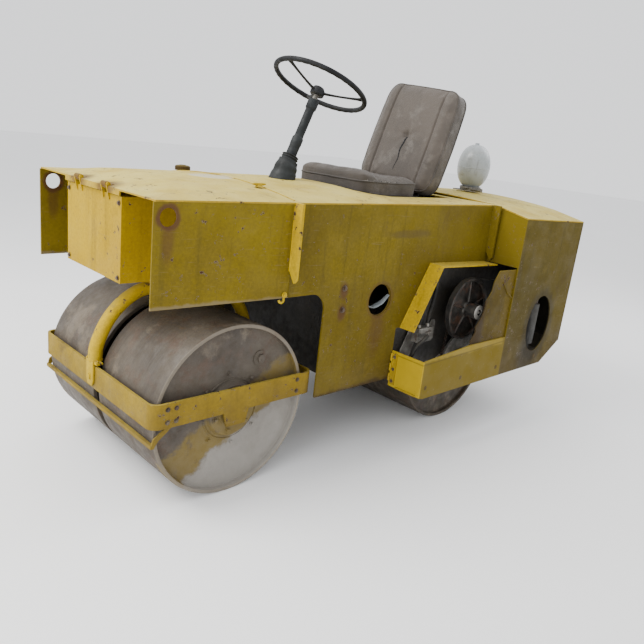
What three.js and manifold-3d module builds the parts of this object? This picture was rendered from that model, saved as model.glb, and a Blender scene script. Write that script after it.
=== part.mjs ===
// A small ride-on tandem road roller: a split front drum in a steered frame under a sheet-metal
// bonnet, a driven rear drum between the chassis plates, an operator's seat, a steering wheel and
// a belt and chain drive in the left-hand housing.
// Millimetres. +X is forward, +Y is the operator's left, +Z is up. The origin is on the ground
// under the middle of the machine.
import * as THREE from "three";
import { mergeVertices } from "three/addons/utils/BufferGeometryUtils.js";
import Module from "manifold-3d";

const wasm = await Module();
wasm.setup();

// ---- Driving dimensions ----
const GAP = 0.4; // left between pieces that touch
const SHEET = 8; // side plates and outer panels
const DECK_SHEET = 6;
const FRONT_END = 1286;
const REAR_END = -1286;
const DECK_Z = 1164;

const DRUM_RADIUS = 350;
const DRUM_HALF_WIDTH = 450;
const DRUM_SHELL = 18;
const DRUM_SIDES = 40;
const FRONT_AXLE_X = 901;
const REAR_AXLE_X = -524;
const AXLE_Z = DRUM_RADIUS;
const AXLE_RADIUS = 30;
const DRUM_SPLIT = 24; // half of the gap between the two front drum halves

const NOSE_HALF_WIDTH = 466; // chassis half-width at the front end
const BODY_HALF_WIDTH = 493; // chassis half-width from the front rib backwards
const HOUSING_HALF_WIDTH = 681; // half-width of the rear housing
const NOSE_BOTTOM_Z = 799;
const BODY_BOTTOM_Z = 336;
const RIB_X = 712;
const STEP_X = -659; // front of the wide rear housing
const ARCH_X = 508; // rear edge of the front drum opening
const ARCH_RADIUS = 75;
const CROWN = 40; // rise of the bonnet in the middle

const FRAME_FRONT_X = 1269;
const FRAME_REAR_X = 508;
const FRAME_HALF_WIDTH = 472;
const FRAME_BOTTOM_Z = 357;
const FRAME_TOP_Z = 453;
const FRAME_BAR = 10;
const FRAME_CORNER = 40;
const PIVOT_Z = 405; // pins that the drum frame rocks on

const HEAD_BORE = 48;
const KINGPIN_RADIUS = 45;
const HEAD_LOW_Z = 870;
const HEAD_HIGH_Z = 1050;

const COLUMN_FOOT = new THREE.Vector3(388, 0, 1197);
const WHEEL_HUB = new THREE.Vector3(206, 0, 1613);
const WHEEL_RADIUS = 218; // to the middle of the rim
const RIM_RADIUS = 12;

const DRIVE_SHAFT = { x: -440, z: 650 };
const ENGINE_SHAFT = { x: -930, z: 690 };
const DRIVE_PULLEY_RADIUS = 160;
const ENGINE_PULLEY_RADIUS = 60;
const DRIVE_SPROCKET_RADIUS = 40;
const DRUM_SPROCKET_RADIUS = 160;
const BELT_Y = [548, 568];
const CHAIN_Y = [500, 512];
const CHAIN_SEAT = 9; // sprocket rims lie this far inside the chain's pitch line
const BELT_SEAT = 11; // and pulley grooves this far inside the pulley's edge

const SEAT_HALF_WIDTH = 230;
const SEAT_FRONT_X = 100;
const SEAT_REAR_X = -350;
const SEAT_TOP_Z = 1250;
const SEAT_PLATFORM_Z = 1108;

// ---- Colours ----
const YELLOW = { color: 0xb4932c, roughness: 0.6, metalness: 0.1 };
const RUST = { color: 0x6b5c50, roughness: 0.8, metalness: 0.4 };
const DARK = { color: 0x222428, roughness: 0.6, metalness: 0.2 };
const STEEL = { color: 0x8a8c8c, roughness: 0.45, metalness: 0.8 };
const VINYL = { color: 0x766c66, roughness: 0.6, metalness: 0 };
const RUBBER = { color: 0x1c1d1f, roughness: 0.8, metalness: 0 };
const BOWL = { color: 0xb9c2c6, roughness: 0.35, metalness: 0 };

// ---- Tools for making solids ----

// A closed three.js geometry as a solid that can be joined and cut.
function solid(geometry) {
  const bare = geometry.index ? geometry.toNonIndexed() : geometry.clone();
  bare.deleteAttribute("normal");
  bare.deleteAttribute("uv");
  const merged = mergeVertices(bare, 1e-3);
  return new wasm.Manifold(
    new wasm.Mesh({
      numProp: 3,
      vertProperties: new Float32Array(merged.attributes.position.array),
      triVerts: new Uint32Array(merged.index.array),
    }),
  );
}

function geometryOf(body) {
  const mesh = body.getMesh();
  const geometry = new THREE.BufferGeometry();
  geometry.setAttribute("position", new THREE.BufferAttribute(mesh.vertProperties, 3));
  geometry.setIndex(new THREE.BufferAttribute(mesh.triVerts, 1));
  return geometry;
}

function join(...pieces) {
  return geometryOf(pieces.map(solid).reduce((sum, next) => sum.add(next)));
}

function cut(piece, ...tools) {
  return geometryOf(tools.map(solid).reduce((rest, tool) => rest.subtract(tool), solid(piece)));
}

const part = new THREE.Group();

function add(name, geometry, look, parent = part) {
  const mesh = new THREE.Mesh(geometry, new THREE.MeshStandardMaterial(look));
  mesh.name = name;
  parent.add(mesh);
  return mesh;
}

// A block given by its lowest and highest corners.
function block(x0, x1, y0, y1, z0, z1) {
  const geometry = new THREE.BoxGeometry(x1 - x0, y1 - y0, z1 - z0);
  return geometry.translate((x0 + x1) / 2, (y0 + y1) / 2, (z0 + z1) / 2);
}

// A round bar along Y, from y0 to y1.
function barY(x, z, radius, y0, y1, sides = 24) {
  const geometry = new THREE.CylinderGeometry(radius, radius, y1 - y0, sides);
  return geometry.translate(x, (y0 + y1) / 2, z);
}

// A round bar along X, from x0 to x1.
function barX(y, z, radius, x0, x1, sides = 20) {
  const geometry = new THREE.CylinderGeometry(radius, radius, x1 - x0, sides);
  return geometry.rotateZ(Math.PI / 2).translate((x0 + x1) / 2, y, z);
}

// A round bar along Z, from z0 to z1, with its own top radius if it is a cone.
function barZ(x, y, radius, z0, z1, sides = 24, topRadius = radius) {
  const geometry = new THREE.CylinderGeometry(topRadius, radius, z1 - z0, sides);
  return geometry.rotateX(Math.PI / 2).translate(x, y, (z0 + z1) / 2);
}

// A plate whose outline lies in the XZ plane, between y0 and y1.
function sidePlate(outline, y0, y1, curveSegments = 8) {
  const depth = y1 - y0;
  const geometry = new THREE.ExtrudeGeometry(outline, { depth, bevelEnabled: false, curveSegments });
  return geometry.rotateX(Math.PI / 2).translate(0, y1, 0);
}

// A plate whose outline lies in the YZ plane, between x0 and x1.
function crossPlate(outline, x0, x1, curveSegments = 8) {
  const depth = x1 - x0;
  const geometry = new THREE.ExtrudeGeometry(outline, { depth, bevelEnabled: false, curveSegments });
  return geometry.rotateX(Math.PI / 2).rotateZ(Math.PI / 2).translate(x0, 0, 0);
}

// A plate whose outline lies in the XY plane, between z0 and z1.
function flatPlate(outline, z0, z1, curveSegments = 8) {
  const depth = z1 - z0;
  const geometry = new THREE.ExtrudeGeometry(outline, { depth, bevelEnabled: false, curveSegments });
  return geometry.translate(0, 0, z0);
}

function polygon(points) {
  return new THREE.Shape(points.map(([u, v]) => new THREE.Vector2(u, v)));
}

// A round or oval hole with the given number of sides, running the opposite way to its outline.
function roundHole(shape, x, y, rx, ry = rx, sides = 24) {
  const turn = THREE.ShapeUtils.isClockWise(shape.getPoints()) ? 1 : -1;
  const points = [];
  for (let i = 0; i < sides; i++) {
    const angle = (turn * 2 * Math.PI * i) / sides;
    points.push(new THREE.Vector2(x + rx * Math.cos(angle), y + ry * Math.sin(angle)));
  }
  shape.holes.push(new THREE.Path(points));
  return shape;
}

function roundedRectangle(x0, x1, y0, y1, radius) {
  const shape = new THREE.Shape();
  shape.moveTo(x0 + radius, y0);
  shape.lineTo(x1 - radius, y0);
  shape.absarc(x1 - radius, y0 + radius, radius, -Math.PI / 2, 0);
  shape.absarc(x1 - radius, y1 - radius, radius, 0, Math.PI / 2);
  shape.absarc(x0 + radius, y1 - radius, radius, Math.PI / 2, Math.PI);
  shape.absarc(x0 + radius, y0 + radius, radius, Math.PI, Math.PI * 1.5);
  return shape;
}

// The same piece on the other side of the machine.
function mirrored(geometry) {
  const flipped = geometry.index ? geometry.toNonIndexed() : geometry.clone();
  flipped.scale(1, -1, 1);
  const position = flipped.attributes.position;
  for (let i = 0; i < position.count; i += 3) {
    const second = new THREE.Vector3().fromBufferAttribute(position, i + 1);
    const third = new THREE.Vector3().fromBufferAttribute(position, i + 2);
    position.setXYZ(i + 1, third.x, third.y, third.z);
    position.setXYZ(i + 2, second.x, second.y, second.z);
  }
  return flipped;
}

function addPair(name, geometry, look) {
  add(name + "_left", geometry, look);
  add(name + "_right", mirrored(geometry), look);
}

// ---- Chassis shape ----

// Half-width of the chassis: the nose narrows a little towards the front.
function bodyHalfWidth(x) {
  const forward = Math.max(0, (x - RIB_X) / (FRONT_END - RIB_X));
  return BODY_HALF_WIDTH - (BODY_HALF_WIDTH - NOSE_HALF_WIDTH) * forward;
}

// How far the middle of the deck stands above its edges: flat at the nose, full over the bonnet,
// and gone at the seat.
function crownAt(x) {
  const rise = THREE.MathUtils.smoothstep(FRONT_END - x, 0, 200);
  const fall = THREE.MathUtils.smoothstep(x, -100, 250);
  return CROWN * rise * fall;
}

// A crowned sheet from x0 to x1: a flat box whose points are moved sideways to the chassis width
// and lifted as a parabola across it.
function crownedSheet(x0, x1, stepsAlong, stepsAcross) {
  const width = 2 * BODY_HALF_WIDTH;
  const geometry = new THREE.BoxGeometry(x1 - x0, width, DECK_SHEET, stepsAlong, stepsAcross, 1);
  geometry.translate((x0 + x1) / 2, 0, DECK_Z - DECK_SHEET / 2);
  const position = geometry.attributes.position;
  for (let i = 0; i < position.count; i++) {
    const x = position.getX(i);
    const across = position.getY(i) / BODY_HALF_WIDTH;
    position.setY(i, across * bodyHalfWidth(x));
    position.setZ(i, position.getZ(i) + crownAt(x) * (1 - across * across));
  }
  return geometry;
}

// ---- Side plates ----

const PLATE_TOP_Z = DECK_Z - DECK_SHEET - 0.8;
const LIFT_HOLE = { x: 1232, z: 1108, radius: 31 };

function noseSidePlate() {
  const length = FRONT_END - RIB_X;
  const taper = Math.atan((BODY_HALF_WIDTH - NOSE_HALF_WIDTH) / length);
  const outline = polygon([
    [0, NOSE_BOTTOM_Z],
    [length - GAP, NOSE_BOTTOM_Z],
    [length - GAP, PLATE_TOP_Z],
    [0, PLATE_TOP_Z],
  ]);
  roundHole(outline, LIFT_HOLE.x - RIB_X, LIFT_HOLE.z, LIFT_HOLE.radius);
  const plate = sidePlate(outline, -SHEET, 0);
  return plate.rotateZ(-taper).translate(RIB_X + GAP, BODY_HALF_WIDTH, 0);
}

const RECESS_CORNERS = [
  [22, BODY_BOTTOM_Z],
  [22, 586],
  [-5, 586],
  [-167, 888],
  [STEP_X, 872],
];
const ROUND_PORT = { x: 163, z: 736, radius: 75 };

function middleOutline(rearPoints) {
  const shape = new THREE.Shape();
  shape.moveTo(RIB_X - GAP, PLATE_TOP_Z);
  shape.lineTo(RIB_X - GAP, NOSE_BOTTOM_Z);
  shape.lineTo(ARCH_X + ARCH_RADIUS, NOSE_BOTTOM_Z);
  shape.absarc(ARCH_X + ARCH_RADIUS, NOSE_BOTTOM_Z - ARCH_RADIUS, ARCH_RADIUS, Math.PI / 2, Math.PI);
  shape.lineTo(ARCH_X, BODY_BOTTOM_Z);
  rearPoints.forEach(([x, z]) => shape.lineTo(x, z));
  shape.lineTo(STEP_X, PLATE_TOP_Z);
  return shape;
}

function middleSidePlates() {
  const left = middleOutline(RECESS_CORNERS);
  roundHole(left, ROUND_PORT.x, ROUND_PORT.z, ROUND_PORT.radius);
  const inner = BODY_HALF_WIDTH - SHEET;
  add("mid_side_plate_left", sidePlate(left, inner, BODY_HALF_WIDTH), YELLOW);
  const right = middleOutline([[STEP_X, BODY_BOTTOM_Z]]);
  add("mid_side_plate_right", sidePlate(right, -BODY_HALF_WIDTH, -inner), YELLOW);
}

addPair("front_side_plate", noseSidePlate(), YELLOW);
middleSidePlates();

// Vertical ribs: flat bars standing out from the side plates.
function rib(x, thickness, depth, z0, z1) {
  const outline = polygon([
    [BODY_HALF_WIDTH + GAP, z0 + depth],
    [BODY_HALF_WIDTH + depth * 0.7, z0],
    [BODY_HALF_WIDTH + depth, z0 + 14],
    [BODY_HALF_WIDTH + depth, z1],
    [BODY_HALF_WIDTH + GAP, z1],
  ]);
  return crossPlate(outline, x - thickness / 2, x + thickness / 2);
}

addPair("front_rib", rib(RIB_X, 12, 42, 862, DECK_Z), YELLOW);
addPair("rear_rib", rib(STEP_X + 24, 12, 42, 884, DECK_Z), YELLOW);

// ---- Wide rear housing ----

const HOUSING_INNER = HOUSING_HALF_WIDTH - SHEET;
const STEP_TOP_Z = 1125 - DECK_SHEET - 1.4;
const REAR_TOP_Z = 1102 - DECK_SHEET - 1.4;
const GUARD_FRONT_X = 22;
const OVAL_PORT = { x: -990, z: 538, rx: 120, rz: 160 };

const HOUSING_BOTTOM = [
  [REAR_END + SHEET, 399],
  [-1096, 292],
  [GUARD_FRONT_X - 30, 292],
  [GUARD_FRONT_X, 301],
];

// Outer panel, step face and the front of the drive guard: one folded sheet.
function housingPanel(withRecess) {
  const recess = [
    [GUARD_FRONT_X, 476],
    [-340, 505],
    [STEP_X, 505],
  ];
  const skin = polygon([
    ...HOUSING_BOTTOM,
    ...(withRecess ? recess : [[GUARD_FRONT_X, 476], [STEP_X, 476]]),
    [STEP_X, STEP_TOP_Z],
    [REAR_END + SHEET, REAR_TOP_Z],
  ]);
  if (withRecess) roundHole(skin, OVAL_PORT.x, OVAL_PORT.z, OVAL_PORT.rx, OVAL_PORT.rz);
  const side = sidePlate(skin, HOUSING_INNER, HOUSING_HALF_WIDTH, 16);
  const stepFace = crossPlate(
    polygon([
      [BODY_HALF_WIDTH + GAP, 872],
      [HOUSING_HALF_WIDTH, 872],
      [HOUSING_HALF_WIDTH, STEP_TOP_Z],
      [BODY_HALF_WIDTH + GAP, PLATE_TOP_Z],
    ]),
    STEP_X - SHEET,
    STEP_X,
  );
  const front = crossPlate(
    polygon([
      [BODY_HALF_WIDTH + GAP, 301],
      [HOUSING_HALF_WIDTH, 301],
      [HOUSING_HALF_WIDTH, 476],
      [BODY_HALF_WIDTH + GAP, 476],
    ]),
    GUARD_FRONT_X - SHEET,
    GUARD_FRONT_X,
  );
  if (withRecess) return join(side, stepFace, front);
  const shelf = block(STEP_X - SHEET, GUARD_FRONT_X, BODY_HALF_WIDTH + GAP, HOUSING_HALF_WIDTH, 468, 476);
  return join(side, stepFace, front, shelf);
}

add("rear_side_panel_left", housingPanel(true), YELLOW);
add("rear_side_panel_right", mirrored(housingPanel(false)), YELLOW);

function rearPlate() {
  const half = HOUSING_HALF_WIDTH;
  const outline = polygon([
    [-half, 399],
    [half, 399],
    [half, REAR_TOP_Z],
    [BODY_HALF_WIDTH, REAR_TOP_Z + 36],
    [0, REAR_TOP_Z + 60],
    [-BODY_HALF_WIDTH, REAR_TOP_Z + 36],
    [-half, REAR_TOP_Z],
  ]);
  const slots = [760, 800, 840, 880, 920].map((z) =>
    block(REAR_END - 1, REAR_END + SHEET + 1, -180, 180, z, z + 14),
  );
  return cut(crossPlate(outline, REAR_END, REAR_END + SHEET - GAP), ...slots);
}
add("rear_plate", rearPlate(), YELLOW);

// Belt guard frame: a flange standing out round the left-hand drive recess.
function beltGuardFrame() {
  const deep = 85;
  const outline = new THREE.Shape();
  const outer = [
    [-5, 586],
    [-167, 888],
    [STEP_X + 31, 873],
  ];
  const inner = [
    [STEP_X + 31, 867],
    [-164, 882],
    [-12, 586],
  ];
  [...outer, ...inner].forEach(([x, z], i) => (i ? outline.lineTo(x, z) : outline.moveTo(x, z)));
  return sidePlate(outline, BODY_HALF_WIDTH + GAP, BODY_HALF_WIDTH + deep);
}
add("belt_guard_frame", beltGuardFrame(), YELLOW);

// Drive cover: what is left of a bent cover plate, torn along its front edge.
function driveCover() {
  const outline = polygon([
    [STEP_X - 40, 480],
    [-352, 480],
    [-346, 520],
    [-378, 566],
    [-372, 592],
    [-412, 640],
    [-428, 690],
    [-424, 716],
    [-462, 764],
    [-470, 812],
    [-505, 866],
    [STEP_X - 40, 862],
  ]);
  return sidePlate(outline, HOUSING_INNER - GAP - 5, HOUSING_INNER - GAP);
}
add("drive_cover", driveCover(), YELLOW);

// ---- Bulkhead, steering head and front tank ----

add("bulkhead", block(292, 300, -484, 484, BODY_BOTTOM_Z, 1150), DARK);

function headPlate(z0) {
  const outline = roundHole(
    polygon([
      [FRONT_AXLE_X - 120, -469],
      [FRONT_AXLE_X + 99, -469],
      [FRONT_AXLE_X + 99, 469],
      [FRONT_AXLE_X - 120, 469],
    ]),
    FRONT_AXLE_X,
    0,
    HEAD_BORE + 24,
  );
  return flatPlate(outline, z0, z0 + 12);
}
add("head_plate_lower", headPlate(HEAD_LOW_Z), YELLOW);
add("head_plate_upper", headPlate(HEAD_HIGH_Z), YELLOW);

// A ring or tube about a vertical axis, from an inner to an outer radius.
function ringZ(x, y, inner, outer, z0, z1, sides = 24) {
  return cut(barZ(x, y, outer, z0, z1, sides), barZ(x, y, inner, z0 - 1, z1 + 1, sides));
}
add(
  "steering_head",
  ringZ(FRONT_AXLE_X, 0, HEAD_BORE, HEAD_BORE + 23, HEAD_LOW_Z - 10, HEAD_HIGH_Z + 22, 20),
  YELLOW,
);

const HINGE = { x: 1277, z: 1170, y0: 92, y1: 128 };
const TANK_TOP_Z = 1138;

// Water tank in the nose, with the fixed halves of the two bonnet hinges on its front edge.
function waterTank() {
  const pieces = [block(1008, 1270, -222, 222, 832, TANK_TOP_Z)];
  for (const side of [1, -1]) {
    const lugs = [
      [HINGE.y0 - 7, HINGE.y0 - GAP],
      [HINGE.y1 + GAP, HINGE.y1 + 7],
    ];
    for (const [y0, y1] of lugs) {
      const outline = polygon([
        [1262, TANK_TOP_Z - 20],
        [1274, TANK_TOP_Z - 20],
        [1284, HINGE.z],
        [1279, HINGE.z + 8],
        [1270, HINGE.z + 6],
        [1262, HINGE.z - 14],
      ]);
      pieces.push(sidePlate(outline, side > 0 ? y0 : -y1, side > 0 ? y1 : -y0));
    }
    const ends = side > 0 ? [HINGE.y0 - 9, HINGE.y1 + 9] : [-HINGE.y1 - 9, -HINGE.y0 + 9];
    pieces.push(barY(HINGE.x, HINGE.z, 4, ends[0], ends[1], 10));
  }
  const inside = block(1012, 1266, -218, 218, 836, TANK_TOP_Z - 4);
  const mouth = barZ(1080, 0, 60, TANK_TOP_Z - 10, TANK_TOP_Z + 10, 16);
  return cut(join(...pieces), inside, mouth);
}
add("water_tank", waterTank(), YELLOW);

// ---- Decks ----

const LID_REAR_X = 700;
const SEAT_DECK_X = 170;

// The bonnet lid, with a drooping front lip, hinge knuckles and notches for the fixed lugs.
function hoodLid() {
  const sheet = crownedSheet(LID_REAR_X, 1280, 6, 8);
  const lip = block(1274, 1280, -222, 222, 1142, DECK_Z - 1);
  const pieces = [sheet, lip];
  const notches = [];
  for (const side of [1, -1]) {
    const [a, b] = side > 0 ? [HINGE.y0, HINGE.y1] : [-HINGE.y1, -HINGE.y0];
    pieces.push(barY(HINGE.x, HINGE.z, 9, a, b, 14));
    notches.push(block(1254, 1290, a - 10, a - 0.2, 1130, 1190));
    notches.push(block(1254, 1290, b + 0.2, b + 10, 1130, 1190));
    notches.push(barY(HINGE.x, HINGE.z, 4.5, a - 1, b + 1, 10));
    notches.push(block(1260, 1290, a - 1, b + 1, 1130, 1156));
  }
  return cut(join(...pieces), ...notches);
}
add("hood_lid", hoodLid(), YELLOW);

const LATCH = { x: 732, y: 285 };
const latchZ = DECK_Z + crownAt(LATCH.x) * (1 - (LATCH.y / BODY_HALF_WIDTH) ** 2);
add(
  "hood_latch",
  join(
    barZ(LATCH.x, LATCH.y, 16, latchZ + 3, latchZ + 12, 14),
    block(LATCH.x - 34, LATCH.x + 34, LATCH.y - 7, LATCH.y + 7, latchZ + 8, latchZ + 20),
  ),
  RUST,
);

const FILLER = { x: 640, y: -420 };
const fillerZ = DECK_Z + crownAt(FILLER.x) * (1 - (FILLER.y / BODY_HALF_WIDTH) ** 2);

function columnDeck() {
  const sheet = crownedSheet(SEAT_DECK_X + GAP, LID_REAR_X - 1, 5, 8);
  const columnHole = barZ(COLUMN_FOOT.x + 12, 0, 40, 1100, 1260, 20);
  const neck = barZ(FILLER.x, FILLER.y, 23.5, 1120, fillerZ + 12, 16);
  const neckBore = barZ(FILLER.x, FILLER.y, 18, 1100, 1260, 16);
  return cut(join(sheet, neck), columnHole, neckBore);
}
add("column_deck", columnDeck(), YELLOW);

add(
  "filler_cap",
  cut(
    barZ(FILLER.x, FILLER.y, 36, fillerZ + 6, fillerZ + 34, 18, 32),
    barZ(FILLER.x, FILLER.y, 24.2, fillerZ + 2, fillerZ + 14, 16),
  ),
  DARK,
);

const SEAT_WELL = { x0: -590, x1: 165, y: 252 };

function seatDeck() {
  const sheet = crownedSheet(STEP_X + GAP, SEAT_DECK_X, 6, 8);
  const well = block(SEAT_WELL.x0, SEAT_WELL.x1, -SEAT_WELL.y, SEAT_WELL.y, 1100, 1260);
  const leverSlot = block(-640, -480, -312, -288, 1100, 1200);
  return cut(sheet, well, leverSlot);
}
add("seat_deck", seatDeck(), YELLOW);

// Rear deck: falls towards the back and, outside the chassis plates, towards the sides.
function rearDeck() {
  const x1 = STEP_X - GAP;
  const width = 2 * HOUSING_HALF_WIDTH;
  const geometry = new THREE.BoxGeometry(x1 - REAR_END, width, DECK_SHEET, 2, 14, 1);
  geometry.translate((x1 + REAR_END) / 2, 0, -DECK_SHEET / 2);
  const position = geometry.attributes.position;
  const steps = 14;
  for (let i = 0; i < position.count; i++) {
    const step = Math.round((position.getY(i) / HOUSING_HALF_WIDTH) * (steps / 2));
    const inside = Math.max(-1, Math.min(1, step / (steps / 2 - 1)));
    const outside = Math.abs(step) === steps / 2;
    const y = outside ? Math.sign(step) * HOUSING_HALF_WIDTH : inside * BODY_HALF_WIDTH;
    const back = (x1 - position.getX(i)) / (x1 - REAR_END);
    const crown = (14 + 18 * back) * (1 - inside * inside);
    const edge = DECK_Z - 23 * back - (outside ? 39 : 0);
    position.setY(i, y);
    position.setZ(i, position.getZ(i) + edge + crown);
  }
  return geometry;
}
add("rear_deck", rearDeck(), YELLOW);

add(
  "seat_platform",
  cut(
    block(-600, 190, -484, 484, SEAT_PLATFORM_Z - 8, SEAT_PLATFORM_Z),
    block(-610, -500, -345, -255, SEAT_PLATFORM_Z - 9, SEAT_PLATFORM_Z + 1),
  ),
  DARK,
);

// ---- Front drum, its frame and its yoke ----

// Half of the front drum: shell, recessed end disc and hub, open towards the middle.
function drumHalf() {
  const outer = DRUM_RADIUS / Math.cos(Math.PI / DRUM_SIDES);
  const inner = outer - DRUM_SHELL;
  const end = DRUM_HALF_WIDTH;
  const disc = end - 24;
  const bore = AXLE_RADIUS + 1;
  const profile = [
    [bore, DRUM_SPLIT + 6],
    [bore + 16, DRUM_SPLIT + 6],
    [bore + 16, disc - 12],
    [inner, disc - 12],
    [inner, DRUM_SPLIT],
    [outer, DRUM_SPLIT],
    [outer, end],
    [inner + 2, end],
    [inner + 2, disc],
    [112, disc],
    [104, end - 1],
    [bore, end - 1],
    [bore, DRUM_SPLIT + 6],
  ];
  const points = profile.map(([radius, y]) => new THREE.Vector2(radius, y));
  const phase = Math.PI / DRUM_SIDES;
  const geometry = new THREE.LatheGeometry(points, DRUM_SIDES, phase);
  return geometry.translate(FRONT_AXLE_X, 0, AXLE_Z);
}

addPair("front_drum", drumHalf(), RUST);

const AXLE_HALF_LENGTH = FRAME_HALF_WIDTH - FRAME_BAR - GAP;
add(
  "front_axle",
  barY(FRONT_AXLE_X, AXLE_Z, AXLE_RADIUS, -AXLE_HALF_LENGTH, AXLE_HALF_LENGTH, 28),
  STEEL,
);

const ARM_PIN_RADIUS = 14;

// End bar of the drum frame, bent round at both corners. It has the hole of its pivot pin.
function frameEndBar(front) {
  const reach = 70;
  const outline = roundedRectangle(
    FRAME_REAR_X,
    FRAME_FRONT_X,
    -FRAME_HALF_WIDTH,
    FRAME_HALF_WIDTH,
    FRAME_CORNER,
  );
  const inside = roundedRectangle(
    FRAME_REAR_X + FRAME_BAR,
    FRAME_FRONT_X - FRAME_BAR,
    -FRAME_HALF_WIDTH + FRAME_BAR,
    FRAME_HALF_WIDTH - FRAME_BAR,
    FRAME_CORNER - FRAME_BAR,
  );
  const whole = flatPlate(outline, FRAME_BOTTOM_Z, FRAME_TOP_Z, 6);
  const hollow = flatPlate(inside, FRAME_BOTTOM_Z - 1, FRAME_TOP_Z + 1, 6);
  const cutFrom = front ? FRAME_REAR_X - 1 : FRAME_REAR_X + reach;
  const cutTo = front ? FRAME_FRONT_X - reach : FRAME_FRONT_X + 1;
  const rest = block(cutFrom, cutTo, -500, 500, FRAME_BOTTOM_Z - 2, FRAME_TOP_Z + 2);
  const x = front ? FRAME_FRONT_X : FRAME_REAR_X;
  const pinHole = barX(0, PIVOT_Z, ARM_PIN_RADIUS + 1, x - 20, x + 20, 16);
  return cut(whole, hollow, rest, pinHole);
}
add("frame_bar_front", frameEndBar(true), YELLOW);
add("frame_bar_rear", frameEndBar(false), YELLOW);

// Side bar of the drum frame with the axle clamp under it.
function frameSideBar() {
  const bar = block(
    FRAME_REAR_X + 70 + GAP,
    FRAME_FRONT_X - 70 - GAP,
    FRAME_HALF_WIDTH - FRAME_BAR,
    FRAME_HALF_WIDTH,
    FRAME_BOTTOM_Z,
    FRAME_TOP_Z,
  );
  const clamp = sidePlate(
    polygon([
      [FRONT_AXLE_X - 62, FRAME_BOTTOM_Z + 10],
      [FRONT_AXLE_X - 44, AXLE_Z - 52],
      [FRONT_AXLE_X + 44, AXLE_Z - 52],
      [FRONT_AXLE_X + 62, FRAME_BOTTOM_Z + 10],
    ]),
    FRAME_HALF_WIDTH - FRAME_BAR,
    FRAME_HALF_WIDTH - 1,
  );
  return join(bar, clamp);
}
addPair("frame_bar", frameSideBar(), YELLOW);

// Scraper: a flat blade along the front of the drum, with an arm up to the frame at each end.
function scraper() {
  const pieces = [block(1251, 1265, -466, 466, 286, 300)];
  for (const side of [1, -1]) {
    const y0 = side > 0 ? 459.5 : -466;
    pieces.push(
      sidePlate(
        polygon([
          [1251, 288],
          [1265, 288],
          [1255, 322],
          [1206, FRAME_BOTTOM_Z - GAP],
          [1180, FRAME_BOTTOM_Z - GAP],
          [1236, 312],
        ]),
        y0,
        y0 + 6.5,
      ),
    );
  }
  return join(...pieces);
}
add("front_scraper", scraper(), YELLOW);

// Kingpin: the upright shaft in the steering head, with its flange and collar.
add(
  "kingpin",
  join(
    barZ(FRONT_AXLE_X, 0, KINGPIN_RADIUS, 780, 1092, 24),
    barZ(FRONT_AXLE_X, 0, 105, 782, 800, 24),
    barZ(FRONT_AXLE_X, 0, 64, HEAD_HIGH_Z + 26, HEAD_HIGH_Z + 40, 24),
  ),
  STEEL,
);

// The front yoke arm: a tube that rises from the frame's front pivot and bends back over the
// drum to the kingpin flange.
function archedTube(points, radius, steps) {
  const path = new THREE.CatmullRomCurve3(points.map(([x, z]) => new THREE.Vector3(x, 0, z)));
  const section = new THREE.Shape();
  section.absarc(0, 0, radius, 0, Math.PI * 2);
  return new THREE.ExtrudeGeometry(section, {
    steps,
    extrudePath: path,
    curveSegments: 5,
    bevelEnabled: false,
  });
}

function yokeArm(front) {
  const sign = front ? 1 : -1;
  const place = (dx, z) => [FRONT_AXLE_X + sign * dx, z];
  const span = front ? FRAME_FRONT_X - FRONT_AXLE_X : FRONT_AXLE_X - FRAME_REAR_X;
  const tube = archedTube(
    [
      place(span - 14, 468),
      place(span - 20, 530),
      place(span - 60, 620),
      place(span - 120, 690),
      place(span - 190, 733),
      place(span - 260, 748),
      place(70, 750),
    ],
    28,
    12,
  );
  const range = (a, b) => [Math.min(a, b), Math.max(a, b)];
  const along = (a, b) => range(FRONT_AXLE_X + sign * a, FRONT_AXLE_X + sign * b);
  const [f0, f1] = along(span - 26, span + 4);
  const foot = block(f0, f1, -48, 48, FRAME_TOP_Z + 6, FRAME_TOP_Z + 18);
  const [l0, l1] = along(span + 0.6, span + 10);
  const lug = block(l0, l1, -30, 30, FRAME_BOTTOM_Z + 10, FRAME_TOP_Z + 18);
  const [p0, p1] = along(span - 22, span + 16);
  const pin = barX(0, PIVOT_Z, ARM_PIN_RADIUS, p0, p1, 14);
  const [s0, s1] = along(8, 112);
  const saddle = block(s0, s1, -36, 36, 742, 779.6);
  return join(tube, foot, lug, pin, saddle);
}
add("front_arm", yokeArm(true), YELLOW);
add("rear_arm", yokeArm(false), YELLOW);

// ---- Rear drum, its axle and the plates that carry it ----

function rearDrum() {
  const outer = DRUM_RADIUS / Math.cos(Math.PI / DRUM_SIDES);
  const inner = outer - DRUM_SHELL;
  const end = DRUM_HALF_WIDTH;
  const profile = [
    [AXLE_RADIUS + GAP, -end + 2],
    [80, -end + 2],
    [80, -end + 22],
    [inner, -end + 22],
    [inner, -end],
    [outer, -end],
    [outer, end],
    [inner, end],
    [inner, end - 22],
    [80, end - 22],
    [80, end - 2],
    [AXLE_RADIUS + GAP, end - 2],
  ];
  const points = [...profile, profile[0]].map(([radius, y]) => new THREE.Vector2(radius, y));
  const phase = Math.PI / DRUM_SIDES;
  const whole = new THREE.LatheGeometry(points, DRUM_SIDES, phase);
  const hollowProfile = [
    [58, -end + 34],
    [inner - 2, -end + 34],
    [inner - 2, end - 34],
    [58, end - 34],
    [58, -end + 34],
  ];
  const hollowPoints = hollowProfile.map(([radius, y]) => new THREE.Vector2(radius, y));
  const hollow = new THREE.LatheGeometry(hollowPoints, 24);
  const filler = barY(0, 210, 26, end - 60, end + 10, 12);
  return cut(whole, hollow, filler).translate(REAR_AXLE_X, 0, AXLE_Z);
}
add("rear_drum", rearDrum(), RUST);

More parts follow.
